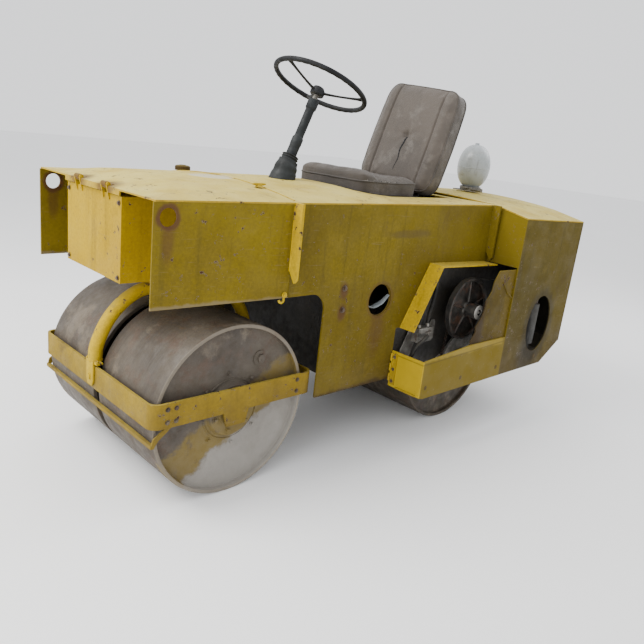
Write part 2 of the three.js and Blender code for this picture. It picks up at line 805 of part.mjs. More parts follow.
const HANGER_INNER = BODY_HALF_WIDTH - SHEET - GAP - 12;

// Rear axle with the drum's chain sprocket on its left end.
add(
  "rear_axle",
  join(
    barY(REAR_AXLE_X, AXLE_Z, AXLE_RADIUS, -484, 530, 28),
    barY(REAR_AXLE_X, AXLE_Z, DRUM_SPROCKET_RADIUS - CHAIN_SEAT, CHAIN_Y[0], CHAIN_Y[1], 32),
    barY(REAR_AXLE_X, AXLE_Z, 60, CHAIN_Y[1] - 1, CHAIN_Y[1] + 12, 20),
  ),
  STEEL,
);

// Plate between the drum and the side plate that carries one end of the rear axle. The left one
// also has the axle's bearing housing and the bearing of the drive shaft.
function hangerPlate(left) {
  const y0 = HANGER_INNER;
  const outline = polygon([
    [-880, 322],
    [40, 322],
    [40, 640],
    [-90, 925],
    [-880, 925],
  ]);
  const plate = sidePlate(outline, y0, y0 + 12);
  const axleHole = barY(REAR_AXLE_X, AXLE_Z, AXLE_RADIUS + 0.5, y0 - 20, y0 + 40, 28);
  if (!left) return cut(plate, axleHole);
  const housing = barY(REAR_AXLE_X, AXLE_Z, 62, y0 + 11, y0 + 20, 20);
  const shaftHole = barY(DRIVE_SHAFT.x, DRIVE_SHAFT.z, 25.5, y0 - 20, y0 + 40, 20);
  return cut(join(plate, housing), axleHole, shaftHole);
}
add("hanger_plate_left", hangerPlate(true), DARK);
add("hanger_plate_right", mirrored(hangerPlate(false)), DARK);

// ---- Drive ----

// A loop round two wheels: the outline of a band of the given thickness whose inside just
// clears both.
function bandOutline(a, radiusA, b, radiusB, offset) {
  const ra = radiusA + offset;
  const rb = radiusB + offset;
  const distance = Math.hypot(b.x - a.x, b.z - a.z);
  const heading = Math.atan2(b.z - a.z, b.x - a.x);
  const spread = Math.acos((ra - rb) / distance);
  const shape = new THREE.Shape();
  shape.absarc(b.x, b.z, rb, heading - spread, heading + spread, false);
  shape.absarc(a.x, a.z, ra, heading + spread, heading - spread + Math.PI * 2, false);
  return shape;
}

function band(a, radiusA, b, radiusB, thickness, [y0, y1]) {
  const outer = sidePlate(bandOutline(a, radiusA, b, radiusB, thickness + GAP), y0, y1, 9);
  const inner = sidePlate(bandOutline(a, radiusA, b, radiusB, GAP), y0 - 1, y1 + 1, 9);
  return cut(outer, inner);
}

const DRUM_SHAFT = { x: REAR_AXLE_X, z: AXLE_Z };
add(
  "drive_belt",
  band(DRIVE_SHAFT, DRIVE_PULLEY_RADIUS - 8, ENGINE_SHAFT, ENGINE_PULLEY_RADIUS - 8, 10, BELT_Y),
  RUBBER,
);
add(
  "drive_chain",
  band(DRUM_SHAFT, DRUM_SPROCKET_RADIUS - 6, DRIVE_SHAFT, DRIVE_SPROCKET_RADIUS - 6, 12, CHAIN_Y),
  RUST,
);

// A grooved pulley with a disc web and a hub.
function pulley(shaft, radius, hubRadius, hubY0, hubY1, sides) {
  const [y0, y1] = BELT_Y;
  const flange = 5;
  return join(
    barY(shaft.x, shaft.z, radius - BELT_SEAT, y0 - flange, y1 + flange, sides),
    barY(shaft.x, shaft.z, radius, y0 - flange, y0 - 0.5, sides),
    barY(shaft.x, shaft.z, radius, y1 + 0.5, y1 + flange, sides),
    barY(shaft.x, shaft.z, hubRadius, hubY0, hubY1, 18),
  );
}

add(
  "drive_pulley",
  join(
    cut(
      pulley(DRIVE_SHAFT, DRIVE_PULLEY_RADIUS, 36, 520, 636, 30),
      barY(DRIVE_SHAFT.x, DRIVE_SHAFT.z, 14, 620, 640, 16),
    ),
    barY(DRIVE_SHAFT.x, DRIVE_SHAFT.z, 25, HANGER_INNER - 4, 521, 24),
    barY(DRIVE_SHAFT.x, DRIVE_SHAFT.z, DRIVE_SPROCKET_RADIUS - CHAIN_SEAT, CHAIN_Y[0], CHAIN_Y[1], 20),
  ),
  STEEL,
);
add("engine_pulley", pulley(ENGINE_SHAFT, ENGINE_PULLEY_RADIUS, 26, 470, 590, 20), STEEL);

// Engine: crankcase, sump, cylinder with cooling fins, fan housing and the cross-beam that carries
// it. The castings are hollow and open into the beam, which is open at both ends.
function engine() {
  const pieces = [
    block(-1120, -900, -260, 440, 480, 790),
    block(-1100, -920, -200, 380, 360, 490),
    barY(ENGINE_SHAFT.x - 60, ENGINE_SHAFT.z, 150, -330, -255, 24),
    block(-1110, -940, -120, 160, 785, 1060),
    block(-1090, -930, -672, 672, 310, 370),
  ];
  for (let z = 820; z <= 1020; z += 40) {
    pieces.push(block(-1130, -920, -140, 180, z, z + 12));
  }
  const hollows = [
    block(-1082, -938, -680, 680, 318, 362),
    block(-1092, -928, -192, 372, 350, 500),
    block(-1112, -908, -252, 418, 490, 780),
    block(-1100, -950, -110, 150, 770, 1050),
    barY(ENGINE_SHAFT.x, ENGINE_SHAFT.z, 27, 410, 470, 20),
  ];
  return cut(join(...pieces), ...hollows);
}
add("engine", engine(), DARK);

// Silencer standing behind the oval port, with its tail pipe down.
add(
  "silencer",
  join(barZ(-1010, 626, 30, 410, 640, 16), barZ(-1010, 626, 14, 380, 411, 12)),
  STEEL,
);

// ---- Air cleaner ----

const AIR_CLEANER = { x: -1130, y: 0 };

function airCleanerBowl() {
  const centreZ = 1325;
  const halfHeight = 140;
  const radius = 98;
  const points = [];
  const rings = 10;
  for (let i = 0; i <= rings; i++) {
    const angle = -Math.PI / 2 + (Math.PI * i) / rings;
    const atPole = i === 0 || i === rings;
    const across = atPole ? 0 : radius * Math.cos(angle) ** 0.85;
    points.push(new THREE.Vector2(across, halfHeight * Math.sin(angle)));
  }
  return new THREE.LatheGeometry(points, 20)
    .rotateX(Math.PI / 2)
    .translate(AIR_CLEANER.x, AIR_CLEANER.y, centreZ);
}
add("air_cleaner_bowl", cut(airCleanerBowl(), block(-1300, -1000, -120, 120, 1100, 1208)), BOWL);
add(
  "air_cleaner_base",
  join(
    barZ(AIR_CLEANER.x, AIR_CLEANER.y, 62, 1181, 1207.5, 20),
    barY(AIR_CLEANER.x + 40, 1194, 11, -40, 110, 12),
    block(AIR_CLEANER.x - 20, AIR_CLEANER.x + 74, -74, 0, 1181, 1187),
  ),
  STEEL,
);

// ---- Steering column and wheel ----

const COLUMN_UP = new THREE.Vector3().subVectors(WHEEL_HUB, COLUMN_FOOT).normalize();
const COLUMN_LENGTH = WHEEL_HUB.distanceTo(COLUMN_FOOT);
const column = new THREE.Group();
column.position.copy(COLUMN_FOOT);
column.quaternion.setFromUnitVectors(new THREE.Vector3(0, 0, 1), COLUMN_UP);
part.add(column);

add(
  "steering_column",
  cut(barZ(0, 0, 26, 62, COLUMN_LENGTH - 58, 20), barZ(0, 0, 12.5, 60, COLUMN_LENGTH, 16)),
  RUBBER,
  column,
);

// Rubber boot over the foot of the column, cut level where it stands on the deck.
function columnBoot() {
  const rim = barZ(0, 0, 62, -30, 24, 20);
  const skirt = barZ(0, 0, 58, 20, 70, 20, 42);
  const sleeve = barZ(0, 0, 42, 69, 122, 20, 36);
  const bore = barZ(0, 0, 12.5, -60, 70, 16);
  const socket = barZ(0, 0, 26.6, 61.6, 130, 20);
  const boot = cut(join(rim, skirt, sleeve), bore, socket);
  boot.applyQuaternion(column.quaternion).translate(COLUMN_FOOT.x, COLUMN_FOOT.y, COLUMN_FOOT.z);
  return cut(boot, block(200, 600, -120, 120, 1000, DECK_Z + CROWN + GAP));
}
add("column_boot", columnBoot(), RUBBER);

add("steering_shaft", barZ(0, 0, 12, -60, COLUMN_LENGTH - 26.5, 16), STEEL, column);

// Steering wheel: a round rim, and three spokes that rise to it from a hub set lower.
function steeringWheel() {
  const rimHeight = 14;
  const rim = new THREE.TorusGeometry(WHEEL_RADIUS, RIM_RADIUS, 8, 36).translate(0, 0, rimHeight);
  const pieces = [rim, barZ(0, 0, 34, -34, -2, 18)];
  for (const degrees of [0, 120, 240]) {
    const spoke = new THREE.CylinderGeometry(8, 8, WHEEL_RADIUS - 20, 8);
    spoke.translate(0, (WHEEL_RADIUS - 20) / 2 + 20, -16);
    spoke.rotateX(0.13).rotateZ(THREE.MathUtils.degToRad(degrees - 90));
    pieces.push(spoke);
  }
  return cut(join(...pieces), barZ(0, 0, 12.3, -40, -26, 16)).translate(0, 0, COLUMN_LENGTH);
}
add("steering_wheel", steeringWheel(), RUBBER, column);

// Steering gearbox: the box at the column's foot, and the tube that takes the drive forward to
// the steering head.
function gearbox() {
  const box = block(396, 500, -70, 70, 1000, 1090);
  const tube = barX(0, 1010, 34, 490, 790, 20);
  const worm = block(780, 826, -80, 80, 950, 1040);
  const shaftHole = barZ(0, 0, 12.6, -90, 60, 16)
    .applyQuaternion(column.quaternion)
    .translate(COLUMN_FOOT.x, COLUMN_FOOT.y, COLUMN_FOOT.z);
  const mouth = block(380, 440, -20, 20, 1086, 1100);
  return cut(join(box, tube, worm), shaftHole, mouth);
}
add("steering_gearbox", gearbox(), DARK);

// ---- Seat ----

for (const side of [1, -1]) {
  const y = side * 150;
  add(
    side > 0 ? "seat_rail_left" : "seat_rail_right",
    block(-400, 120, y - 16, y + 16, SEAT_PLATFORM_Z + GAP, SEAT_PLATFORM_Z + 18),
    STEEL,
  );
}

const PAN_Z = SEAT_PLATFORM_Z + 18 + GAP;
add("seat_pan", block(SEAT_REAR_X - 46, SEAT_FRONT_X - 20, -205, 205, PAN_Z, PAN_Z + 10), DARK);

// Cushion: a rounded slab with a rounded front edge.
function seatCushion() {
  const z0 = PAN_Z + 10 + GAP;
  const outline = roundedRectangle(SEAT_REAR_X, SEAT_FRONT_X, z0, SEAT_TOP_Z, 26);
  return sidePlate(outline, -SEAT_HALF_WIDTH, SEAT_HALF_WIDTH, 4);
}
add("seat_cushion", seatCushion(), VINYL);

const BACK = {
  foot: new THREE.Vector3(-370, 0, 1206),
  lean: THREE.MathUtils.degToRad(15),
  twist: THREE.MathUtils.degToRad(4),
  tilt: THREE.MathUtils.degToRad(5),
  height: 534,
  thickness: 100,
};

// Seat back: stands on the frame's hinge plate, leaning back and a little askew, as it has worn.
const back = new THREE.Group();
back.position.copy(BACK.foot);
back.rotation.order = "ZXY";
back.rotation.set(-BACK.tilt, -BACK.lean, BACK.twist);
part.add(back);

function seatBack() {
  const outline = roundedRectangle(-SEAT_HALF_WIDTH, SEAT_HALF_WIDTH, 0, BACK.height, 62);
  return crossPlate(outline, -BACK.thickness, 0, 5);
}
add("seat_back", seatBack(), VINYL, back);

// Back frame: a bent strip from the pan up behind the back cushion.
function backFrame() {
  const z0 = PAN_Z + 10 + GAP;
  const outline = polygon([
    [-354 - 40, z0],
    [-354, z0],
    [-354, z0 + 6],
    [-388, z0 + 6],
    [-392, 1150],
    [-488, 1154],
    [-560, 1420],
    [-566, 1418],
    [-494, 1148],
    [-398, 1144],
    [-394, z0 + 6],
  ]);
  return outline;
}
add("back_frame", sidePlate(backFrame(), -110, 110), DARK);

// ---- Travel lever ----

function travelLever() {
  const rod = barZ(-560, -300, 9, 1096, 1440, 12);
  const knob = new THREE.SphereGeometry(23, 10, 7).translate(-560, -300, 1452);
  const boss = barY(-560, 1100, 20, -318, -282, 16);
  return join(rod, knob, boss);
}
add("travel_lever", travelLever(), DARK);

export default part;
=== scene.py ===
"""A small ride-on road roller: camera, light, finishes and fine pieces round its frame of parts."""

import math

import bpy
import numpy as np
from mathutils import Matrix, Vector
from mathutils.bvhtree import BVHTree


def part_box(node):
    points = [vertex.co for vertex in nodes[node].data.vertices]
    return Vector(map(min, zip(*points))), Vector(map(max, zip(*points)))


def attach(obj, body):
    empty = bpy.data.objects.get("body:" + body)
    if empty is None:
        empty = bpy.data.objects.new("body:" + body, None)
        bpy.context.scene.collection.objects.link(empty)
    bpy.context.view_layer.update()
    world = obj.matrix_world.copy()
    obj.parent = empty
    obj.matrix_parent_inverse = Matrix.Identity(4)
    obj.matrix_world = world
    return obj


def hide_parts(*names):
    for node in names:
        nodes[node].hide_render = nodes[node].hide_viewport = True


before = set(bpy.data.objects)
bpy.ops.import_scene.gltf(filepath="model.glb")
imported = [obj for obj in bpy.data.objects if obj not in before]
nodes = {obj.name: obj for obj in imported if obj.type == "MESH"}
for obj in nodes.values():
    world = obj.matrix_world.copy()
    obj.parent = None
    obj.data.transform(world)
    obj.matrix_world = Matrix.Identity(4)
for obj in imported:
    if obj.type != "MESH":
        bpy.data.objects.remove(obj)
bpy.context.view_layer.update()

# ---- Directions, and places on the machine in metres ----
AHEAD, LEFT, UP = np.eye(3)
FRONT_AXLE = np.array([0.901, 0.0, 0.350])
REAR_AXLE = np.array([-0.524, 0.0, 0.350])
DRIVE_SHAFT = np.array([-0.440, 0.0, 0.650])
ENGINE_SHAFT = np.array([-0.930, 0.0, 0.690])
DECK = 1.164  # height of the deck's edges
FULL_TURN = 2 * np.pi
ROUND_PORT = (0.163, 0.736)  # middle, along and up
LATCH = (0.732, 0.285)  # its pin, along and to the left
CAP = (0.640, -0.420)  # middle of the filler cap
LEVER = (-0.560, -0.300)  # foot of the travel lever
MIDDLE_FACE = 0.493  # outer face of the middle side plates
HOUSING_FACE = 0.681  # outer face of the rear housing
TANK_FRONT = 1.2705
FRAME_SIDE = 0.4722
WHEEL_HUB = np.array([0.206, 0.0, 1.613])
COLUMN_FOOT = np.array([0.388, 0.0, 1.197])
COLUMN_UP = (WHEEL_HUB - COLUMN_FOOT) / np.linalg.norm(WHEEL_HUB - COLUMN_FOOT)
COLUMN_FORWARD = np.cross(LEFT, COLUMN_UP)

# ---- Tools for making surfaces ----


def unit(v):
    """A vector, or rows of vectors, at length one."""
    v = np.asarray(v, float)
    return v / np.linalg.norm(v, axis=-1, keepdims=True)


def across(axis):
    """Two unit directions square to an axis, which make a right-handed set with it."""
    axis = unit(axis)
    spare = UP if abs(axis[2]) < 0.9 else AHEAD
    first = unit(np.cross(spare, axis))
    return first, np.cross(axis, first)


def skin(points, ends=True):
    """A grid of points [ring, place on ring] as a tube: each ring closes on itself, and each end is
    closed by a flat face, or left open where ends is False."""
    rings, around = points.shape[:2]
    index = np.arange(rings * around).reshape(rings, around)
    a, b = index[:-1], index[1:]
    quads = np.stack([a, np.roll(a, -1, 1), np.roll(b, -1, 1), b], -1).reshape(-1, 4)
    faces = quads.tolist()
    if ends:
        faces += [index[0, ::-1].tolist(), index[-1].tolist()]
    return points.reshape(-1, 3), faces


def ring_skin(points):
    """A grid of points that closes on itself both ways, like a tyre."""
    rings, around = points.shape[:2]
    index = np.arange(rings * around).reshape(rings, around)
    b = np.roll(index, -1, 0)
    quads = np.stack([index, np.roll(index, -1, 1), np.roll(b, -1, 1), b], -1).reshape(-1, 4)
    return points.reshape(-1, 3), quads.tolist()


def turned(profile, centre, axis, sides=64, closed=False):
    """A profile of (radius, distance along the axis) carried round it: each point is the centre
    plus the distance along the axis plus the radius times a direction that goes once round."""
    profile = np.asarray(profile, float)
    first, second = across(axis)
    angle = np.linspace(0, FULL_TURN, sides, endpoint=False)
    out = np.cos(angle)[:, None] * first + np.sin(angle)[:, None] * second
    points = (
        np.asarray(centre, float)
        + profile[:, 1][:, None, None] * unit(axis)
        + profile[:, 0][:, None, None] * out
    )
    return ring_skin(points) if closed else skin(points)


def spline(corners, count):
    """A smooth line through the given corners: on each span a cubic whose slopes at its ends are
    half the step between the neighbouring corners."""
    p = np.asarray(corners, float)
    slope = np.gradient(p, axis=0)
    t = np.linspace(0, len(p) - 1, count)
    i = np.minimum(t.astype(int), len(p) - 2)
    u = (t - i)[:, None]
    return (
        (2 * u**3 - 3 * u**2 + 1) * p[i]
        + (u**3 - 2 * u**2 + u) * slope[i]
        + (3 * u**2 - 2 * u**3) * p[i + 1]
        + (u**3 - u**2) * slope[i + 1]
    )


def swept(path, radius, sides=16, flat=1.0, hint=LEFT, closed=False):
    """A round or oval section carried along a path. Each point is the path's point plus radius
    times cosine along one direction square to the path and flat times sine along the other."""
    path = np.asarray(path, float)
    if closed:
        along = unit(np.roll(path, -1, 0) - np.roll(path, 1, 0))
    else:
        along = unit(np.gradient(path, axis=0))
    first = unit(np.cross(np.asarray(hint, float), along))
    second = np.cross(along, first)
    angle = np.linspace(0, FULL_TURN, sides, endpoint=False)
    size = np.broadcast_to(np.asarray(radius, float), (len(path),))[:, None, None]
    points = path[:, None] + size * (
        np.cos(angle)[None, :, None] * first[:, None]
        + flat * np.sin(angle)[None, :, None] * second[:, None]
    )
    return ring_skin(points) if closed else skin(points)


def slab(outline, low, high, axis="y", bevel=0.001):
    """A plate: its outline (two numbers each, in the other two axes) is carried from low to high
    along an axis, and drawn in by the bevel at both faces. Going in follows the mean of the two
    edge normals at each corner."""
    p = np.asarray(outline, float)
    area = np.sum(p[:, 0] * np.roll(p[:, 1], -1) - np.roll(p[:, 0], -1) * p[:, 1])
    if area < 0:
        p = p[::-1]
    edge = unit(np.roll(p, -1, 0) - p)
    normal = np.stack([edge[:, 1], -edge[:, 0]], -1)
    before = np.roll(normal, 1, 0)
    corner = (normal + before) / (1 + np.sum(normal * before, -1, keepdims=True))
    loops = [p - corner * bevel, p, p, p - corner * bevel]
    heights = [low, low + bevel, high - bevel, high]
    flat = np.stack(loops)
    height = np.broadcast_to(np.array(heights)[:, None], flat.shape[:2])
    order = {
        "x": (height, flat[..., 0], flat[..., 1]),
        "y": (flat[..., 0], height, flat[..., 1]),
        "z": (flat[..., 0], flat[..., 1], height),
    }[axis]
    return skin(np.stack(order, -1))


def block(low, high, bevel=0.001):
    """A box with bevelled edges, as a plate whose outline is a rectangle."""
    (x0, y0, z0), (x1, y1, z1) = low, high
    return slab([(x0, y0), (x1, y0), (x1, y1), (x0, y1)], z0, z1, "z", bevel)


def bolts(places, axis, size=0.012, height=0.008, washer=True):
    """Hexagon bolt heads at many places along one direction. The radius at each angle is the
    distance to a hexagon's side, drawn in at the top as a chamfer, above a round washer."""
    places = np.asarray(places, float).reshape(-1, 3)
    first, second = across(axis)
    angle = np.linspace(0, FULL_TURN, 12, endpoint=False)
    hexagon = 1 / np.cos((angle % (np.pi / 3)) - np.pi / 6)
    round_part = np.ones(12)
    rows = [
        (size * 0.95, round_part, 0.0),
        (size * 0.95, round_part, height * 0.22),
        (size * 0.55, hexagon, height * 0.25),
        (size * 0.55, hexagon, height * 0.85),
        (size * 0.46, round_part, height),
    ]
    rows = rows if washer else rows[2:]
    grid = np.stack([
        r * (shape * np.cos(angle))[:, None] * first
        + r * (shape * np.sin(angle))[:, None] * second
        + h * unit(axis)
        for r, shape, h in rows
    ])
    one, faces = skin(grid)
    points = (places[:, None] + one[None]).reshape(-1, 3)
    all_faces = [[v + k * len(one) for v in f] for k in range(len(places)) for f in faces]
    return points, all_faces


def weld(path, radius=0.0035, pitch=0.006, hint=LEFT):
    """A weld bead along a path: a thin tube whose radius ripples with the distance along it."""
    path = np.asarray(path, float)
    length = np.concatenate([[0], np.cumsum(np.linalg.norm(np.diff(path, axis=0), axis=1))])
    steps = max(int(length[-1] / (pitch / 3)), 12)
    at = np.linspace(0, length[-1], steps)
    fine = np.stack([np.interp(at, length, path[:, k]) for k in range(3)], -1)
    ripple = radius * (1 + 0.22 * np.sin(2 * np.pi * at / pitch))
    return swept(fine, ripple, 6, hint=hint)


def piece(name, parts, look, body, replaces=(), smooth=40.0):
    """One object from several surfaces. Each closed surface is turned so that its faces point out,
    which is where six times its signed volume, summed over its triangles, is positive."""
    points, faces = [], []
    start = 0
    for vertices, polygons in parts:
        vertices = np.asarray(vertices, float)
        fans = [(f[0], f[k], f[k + 1]) for f in polygons for k in range(1, len(f) - 1)]
        tri = vertices[np.array(fans)] - vertices.mean(0)
        if np.einsum("ij,ij->", tri[:, 0], np.cross(tri[:, 1], tri[:, 2])) < 0:
            polygons = [f[::-1] for f in polygons]
        points.append(vertices)
        faces += [[v + start for v in f] for f in polygons]
        start += len(vertices)
    mesh = bpy.data.meshes.new(name)
    mesh.from_pydata(np.concatenate(points).tolist(), [], faces)
    mesh.update()
    mesh.shade_smooth()
    mesh.set_sharp_from_angle(angle=math.radians(smooth))
    mesh.materials.append(look)
    thing = bpy.data.objects.new(name, mesh)
    bpy.context.scene.collection.objects.link(thing)
    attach(thing, body)
    if replaces:
        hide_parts(*replaces)
    return thing

# ---- Tools for making finishes ----


PAINT_DEPTH = 0.58  # share of a colour's light that is kept


def tone(red, green, blue):
    """A colour given as it looks in bright light, as the linear numbers that a shader takes, with
    its depth taken down for the pale surroundings."""
    c = np.array([red, green, blue], float) / 255
    linear = PAINT_DEPTH * np.where(c <= 0.04045, c / 12.92, ((c + 0.055) / 1.055) ** 2.4)
    return (*linear.tolist(), 1.0)


class Finish:
    """Builds one material out of nodes that read a piece's own coordinates."""

    def __init__(self, name):
        self.material = bpy.data.materials.new(name)
        self.material.use_nodes = True
        self.tree = self.material.node_tree
        self.tree.nodes.clear()
        self.shader = self.tree.nodes.new("ShaderNodeBsdfPrincipled")
        output = self.tree.nodes.new("ShaderNodeOutputMaterial")
        self.tree.links.new(self.shader.outputs[0], output.inputs["Surface"])
        self.place = self.tree.nodes.new("ShaderNodeTexCoord").outputs["Object"]
        self.height = None

    def join(self, source, socket):
        """Puts a number, a colour or another node's output into a socket."""
        if isinstance(source, bpy.types.NodeSocket):
            self.tree.links.new(source, socket)
        else:
            socket.default_value = source

    def noise(self, scale, detail=4.0, rough=0.55, stretch=(1, 1, 1), shift=(0, 0, 0), bend=0.0):
        """Cloudy noise from 0 to 1 at this many lumps a metre, stretched and shifted."""
        mapping = self.tree.nodes.new("ShaderNodeMapping")
        self.join(self.place, mapping.inputs["Vector"])
        mapping.inputs["Scale"].default_value = stretch
        mapping.inputs["Location"].default_value = shift
        node = self.tree.nodes.new("ShaderNodeTexNoise")
        self.join(mapping.outputs[0], node.inputs["Vector"])
        names = ("Scale", "Detail", "Roughness", "Distortion")
        for name, value in zip(names, (scale, detail, rough, bend)):
            node.inputs[name].default_value = value
        return node.outputs[0]

    def between(self, value, low, high, top=1.0, bottom=0.0):
        """Rises smoothly from bottom to top as the value goes from low to high."""
        node = self.tree.nodes.new("ShaderNodeMapRange")
        node.interpolation_type = "SMOOTHSTEP"
        self.join(value, node.inputs["Value"])
        names = ("From Min", "From Max", "To Min", "To Max")
        for name, number in zip(names, (low, high, bottom, top)):
            node.inputs[name].default_value = number
        return node.outputs["Result"]

    def step(self, kind, a, b=0.0):
        """One step of arithmetic on two numbers."""
        node = self.tree.nodes.new("ShaderNodeMath")
        node.operation = kind
        self.join(a, node.inputs[0])
        self.join(b, node.inputs[1])
        return node.outputs[0]

    def times(self, a, b):
        """The product of two numbers."""
        return self.step("MULTIPLY", a, b)

    def plus(self, a, b):
        """The sum of two numbers."""
        return self.step("ADD", a, b)

    def minus(self, a, b):
        """The first number less the second."""
        return self.step("SUBTRACT", a, b)

    def larger(self, a, b):
        """The larger of two numbers."""
        return self.step("MAXIMUM", a, b)

    def size_of(self, a):
        """A number without its sign."""
        return self.step("ABSOLUTE", a)

    def mix(self, share, a, b, kind="MIX"):
        """Colour a, with colour b laid over it by the given share."""
        node = self.tree.nodes.new("ShaderNodeMix")
        node.data_type = "RGBA"
        node.blend_type = kind
        self.join(share, node.inputs[0])
        self.join(a, node.inputs[6])
        self.join(b, node.inputs[7])
        return node.outputs[2]

    def lay(self, colour, share, strength, over):
        """A colour with another laid over it, by the share times the strength."""
        return self.mix(self.times(share, strength), colour, over)

    def along(self, axis):
        """One of the piece's own coordinates, in metres."""
        node = self.tree.nodes.new("ShaderNodeSeparateXYZ")
        self.join(self.place, node.inputs[0])
        return node.outputs["XYZ".index(axis)]

    def facing_up(self):
        """How far the surface faces up, from -1 to 1."""
        geometry = self.tree.nodes.new("ShaderNodeNewGeometry")
        node = self.tree.nodes.new("ShaderNodeSeparateXYZ")
        self.join(geometry.outputs["Normal"], node.inputs[0])
        return node.outputs[2]

    def away(self, centre, radii=(1, 1, 1)):
        """Distance from a centre, counted in the given radii."""
        node = self.tree.nodes.new("ShaderNodeVectorMath")
        node.operation = "SUBTRACT"
        self.join(self.place, node.inputs[0])
        node.inputs[1].default_value = centre
        scale = self.tree.nodes.new("ShaderNodeVectorMath")
        scale.operation = "DIVIDE"
        self.join(node.outputs[0], scale.inputs[0])
        scale.inputs[1].default_value = radii
        length = self.tree.nodes.new("ShaderNodeVectorMath")
        length.operation = "LENGTH"
        self.join(scale.outputs[0], length.inputs[0])
        return length.outputs["Value"]

    def spot(self, centre, radii, edge=0.3, ragged=0.0):
        """1 inside an ellipsoid and 0 outside it, with a soft or ragged edge."""
        distance = self.away(centre, radii)
        if ragged:
            distance = self.plus(distance, self.times(self.noise(22, 5, 0.6), ragged))
            distance = self.minus(distance, ragged * 0.5)
        return self.between(distance, 1 + edge, 1 - edge)

    def cells(self, scale, stretch=(1, 1, 1)):
        """Distance to the edges of random cells, for cracks and crazing."""
        mapping = self.tree.nodes.new("ShaderNodeMapping")
        self.join(self.place, mapping.inputs["Vector"])
        mapping.inputs["Scale"].default_value = stretch
        node = self.tree.nodes.new("ShaderNodeTexVoronoi")
        node.feature = "DISTANCE_TO_EDGE"
        node.inputs["Scale"].default_value = scale
        self.join(mapping.outputs[0], node.inputs["Vector"])
        return node.outputs["Distance"]

    def raise_by(self, value, depth):
        """Adds a relief of this many metres to the surface."""
        node = self.tree.nodes.new("ShaderNodeBump")
        node.inputs["Strength"].default_value = 1.0
        node.inputs["Distance"].default_value = depth
        self.join(value, node.inputs["Height"])
        if self.height is not None:
            self.join(self.height, node.inputs["Normal"])
        self.height = node.outputs[0]

    def done(self, colour, rough, metal=0.0, **sockets):
        """Closes the material with its colour, roughness and metal, and any plain shader values."""
        self.join(colour, self.shader.inputs["Base Color"])
        self.join(rough, self.shader.inputs["Roughness"])
        self.join(metal, self.shader.inputs["Metallic"])
        for name, value in sockets.items():
            self.shader.inputs[name.replace("_", " ")].default_value = value
        if self.height is not None:
            self.join(self.height, self.shader.inputs["Normal"])
        return self.material


RUST = tone(96, 62, 40)
DARK_RUST = tone(58, 42, 32)
PRIMER = tone(150, 134, 104)
SOOT = tone(34, 31, 27)


def painted_sheet(name, base, shade, pale, grime=0.5, chips=0.5, shift=0.0, more=None):
    """Old yellow paint on sheet steel. Broad patches of two yellows, streaks down, chalk on
    faces that look up, brown grime low down, scratches, and chips down to primer and rust."""
    f = Finish(name)
    move = (shift, shift * 0.7, -shift)
    broad = f.between(f.noise(2.1, 3, 0.5, shift=move), 0.36, 0.64)
    colour = f.mix(broad, shade, base)
    streaks = f.between(f.noise(3.2, 5, 0.62, (7, 7, 0.55), move), 0.5, 0.78, 0.55)
    colour = f.mix(streaks, colour, f.mix(0.5, shade, SOOT))
    speckle = f.between(f.noise(85, 5, 0.7, shift=move), 0.3, 0.72, 1.12, 0.86)
    grey = f.tree.nodes.new("ShaderNodeCombineColor")
    for i in range(3):
        f.join(speckle, grey.inputs[i])
    colour = f.mix(1.0, colour, grey.outputs[0], "MULTIPLY")
    chalk = f.times(
        f.between(f.facing_up(), 0.45, 0.96),
        f.between(f.noise(5, 6, 0.62, shift=move), 0.3, 0.62, 0.95, 0.45),
    )
    colour = f.mix(chalk, colour, pale)
    worn = f.between(f.noise(9, 4, 0.6, shift=move), 0.57, 0.78, 0.32)
    colour = f.mix(worn, colour, f.mix(0.3, base, pale))
    low = f.times(f.between(f.along("Z"), 0.62, 0.30), f.noise(7, 6, 0.65, shift=move))
    colour = f.mix(f.times(low, grime * 1.6), colour, tone(92, 76, 50))
    stain = f.between(f.noise(4.5, 7, 0.68, (1, 1, 0.6), move, 0.6), 0.57, 0.72, grime)
    colour = f.mix(stain, colour, tone(88, 70, 40))
    scratch = f.between(f.noise(26, 2, 0.4, (0.35, 0.35, 5.5), move, 1.4), 0.67, 0.71, 0.20)
    colour = f.mix(scratch, colour, PRIMER)
    flake = f.plus(f.noise(30, 8, 0.66, shift=move), f.between(broad, 1, 0, 0.035))
    edge = f.between(flake, 0.668 - 0.05 * chips, 0.682 - 0.05 * chips)
    core = f.between(flake, 0.684 - 0.05 * chips, 0.70 - 0.05 * chips)
    colour = f.mix(edge, colour, PRIMER)
    colour = f.mix(core, colour, f.mix(f.noise(60, 4), RUST, DARK_RUST))
    if more:
        colour = more(f, colour)
    rough = f.between(f.noise(11, 5, 0.6, shift=move), 0.3, 0.7, 0.78, 0.52)
    f.raise_by(f.noise(2.6, 2, 0.4, shift=move), 0.010)
    f.raise_by(f.noise(190, 3, 0.5), 0.0004)
    f.raise_by(f.between(edge, 1, 0), 0.0006)
    return f.done(colour, rough, 0.0, Specular_IOR_Level=0.16)


# The side plates' yellow, darker than the tank's: painted shade for faces turned from the key
# light, besides their dirt.
MUSTARD = tone(148, 126, 16)
MUSTARD_SHADE = tone(128, 108, 12)
MUSTARD_PALE = tone(212, 186, 76)


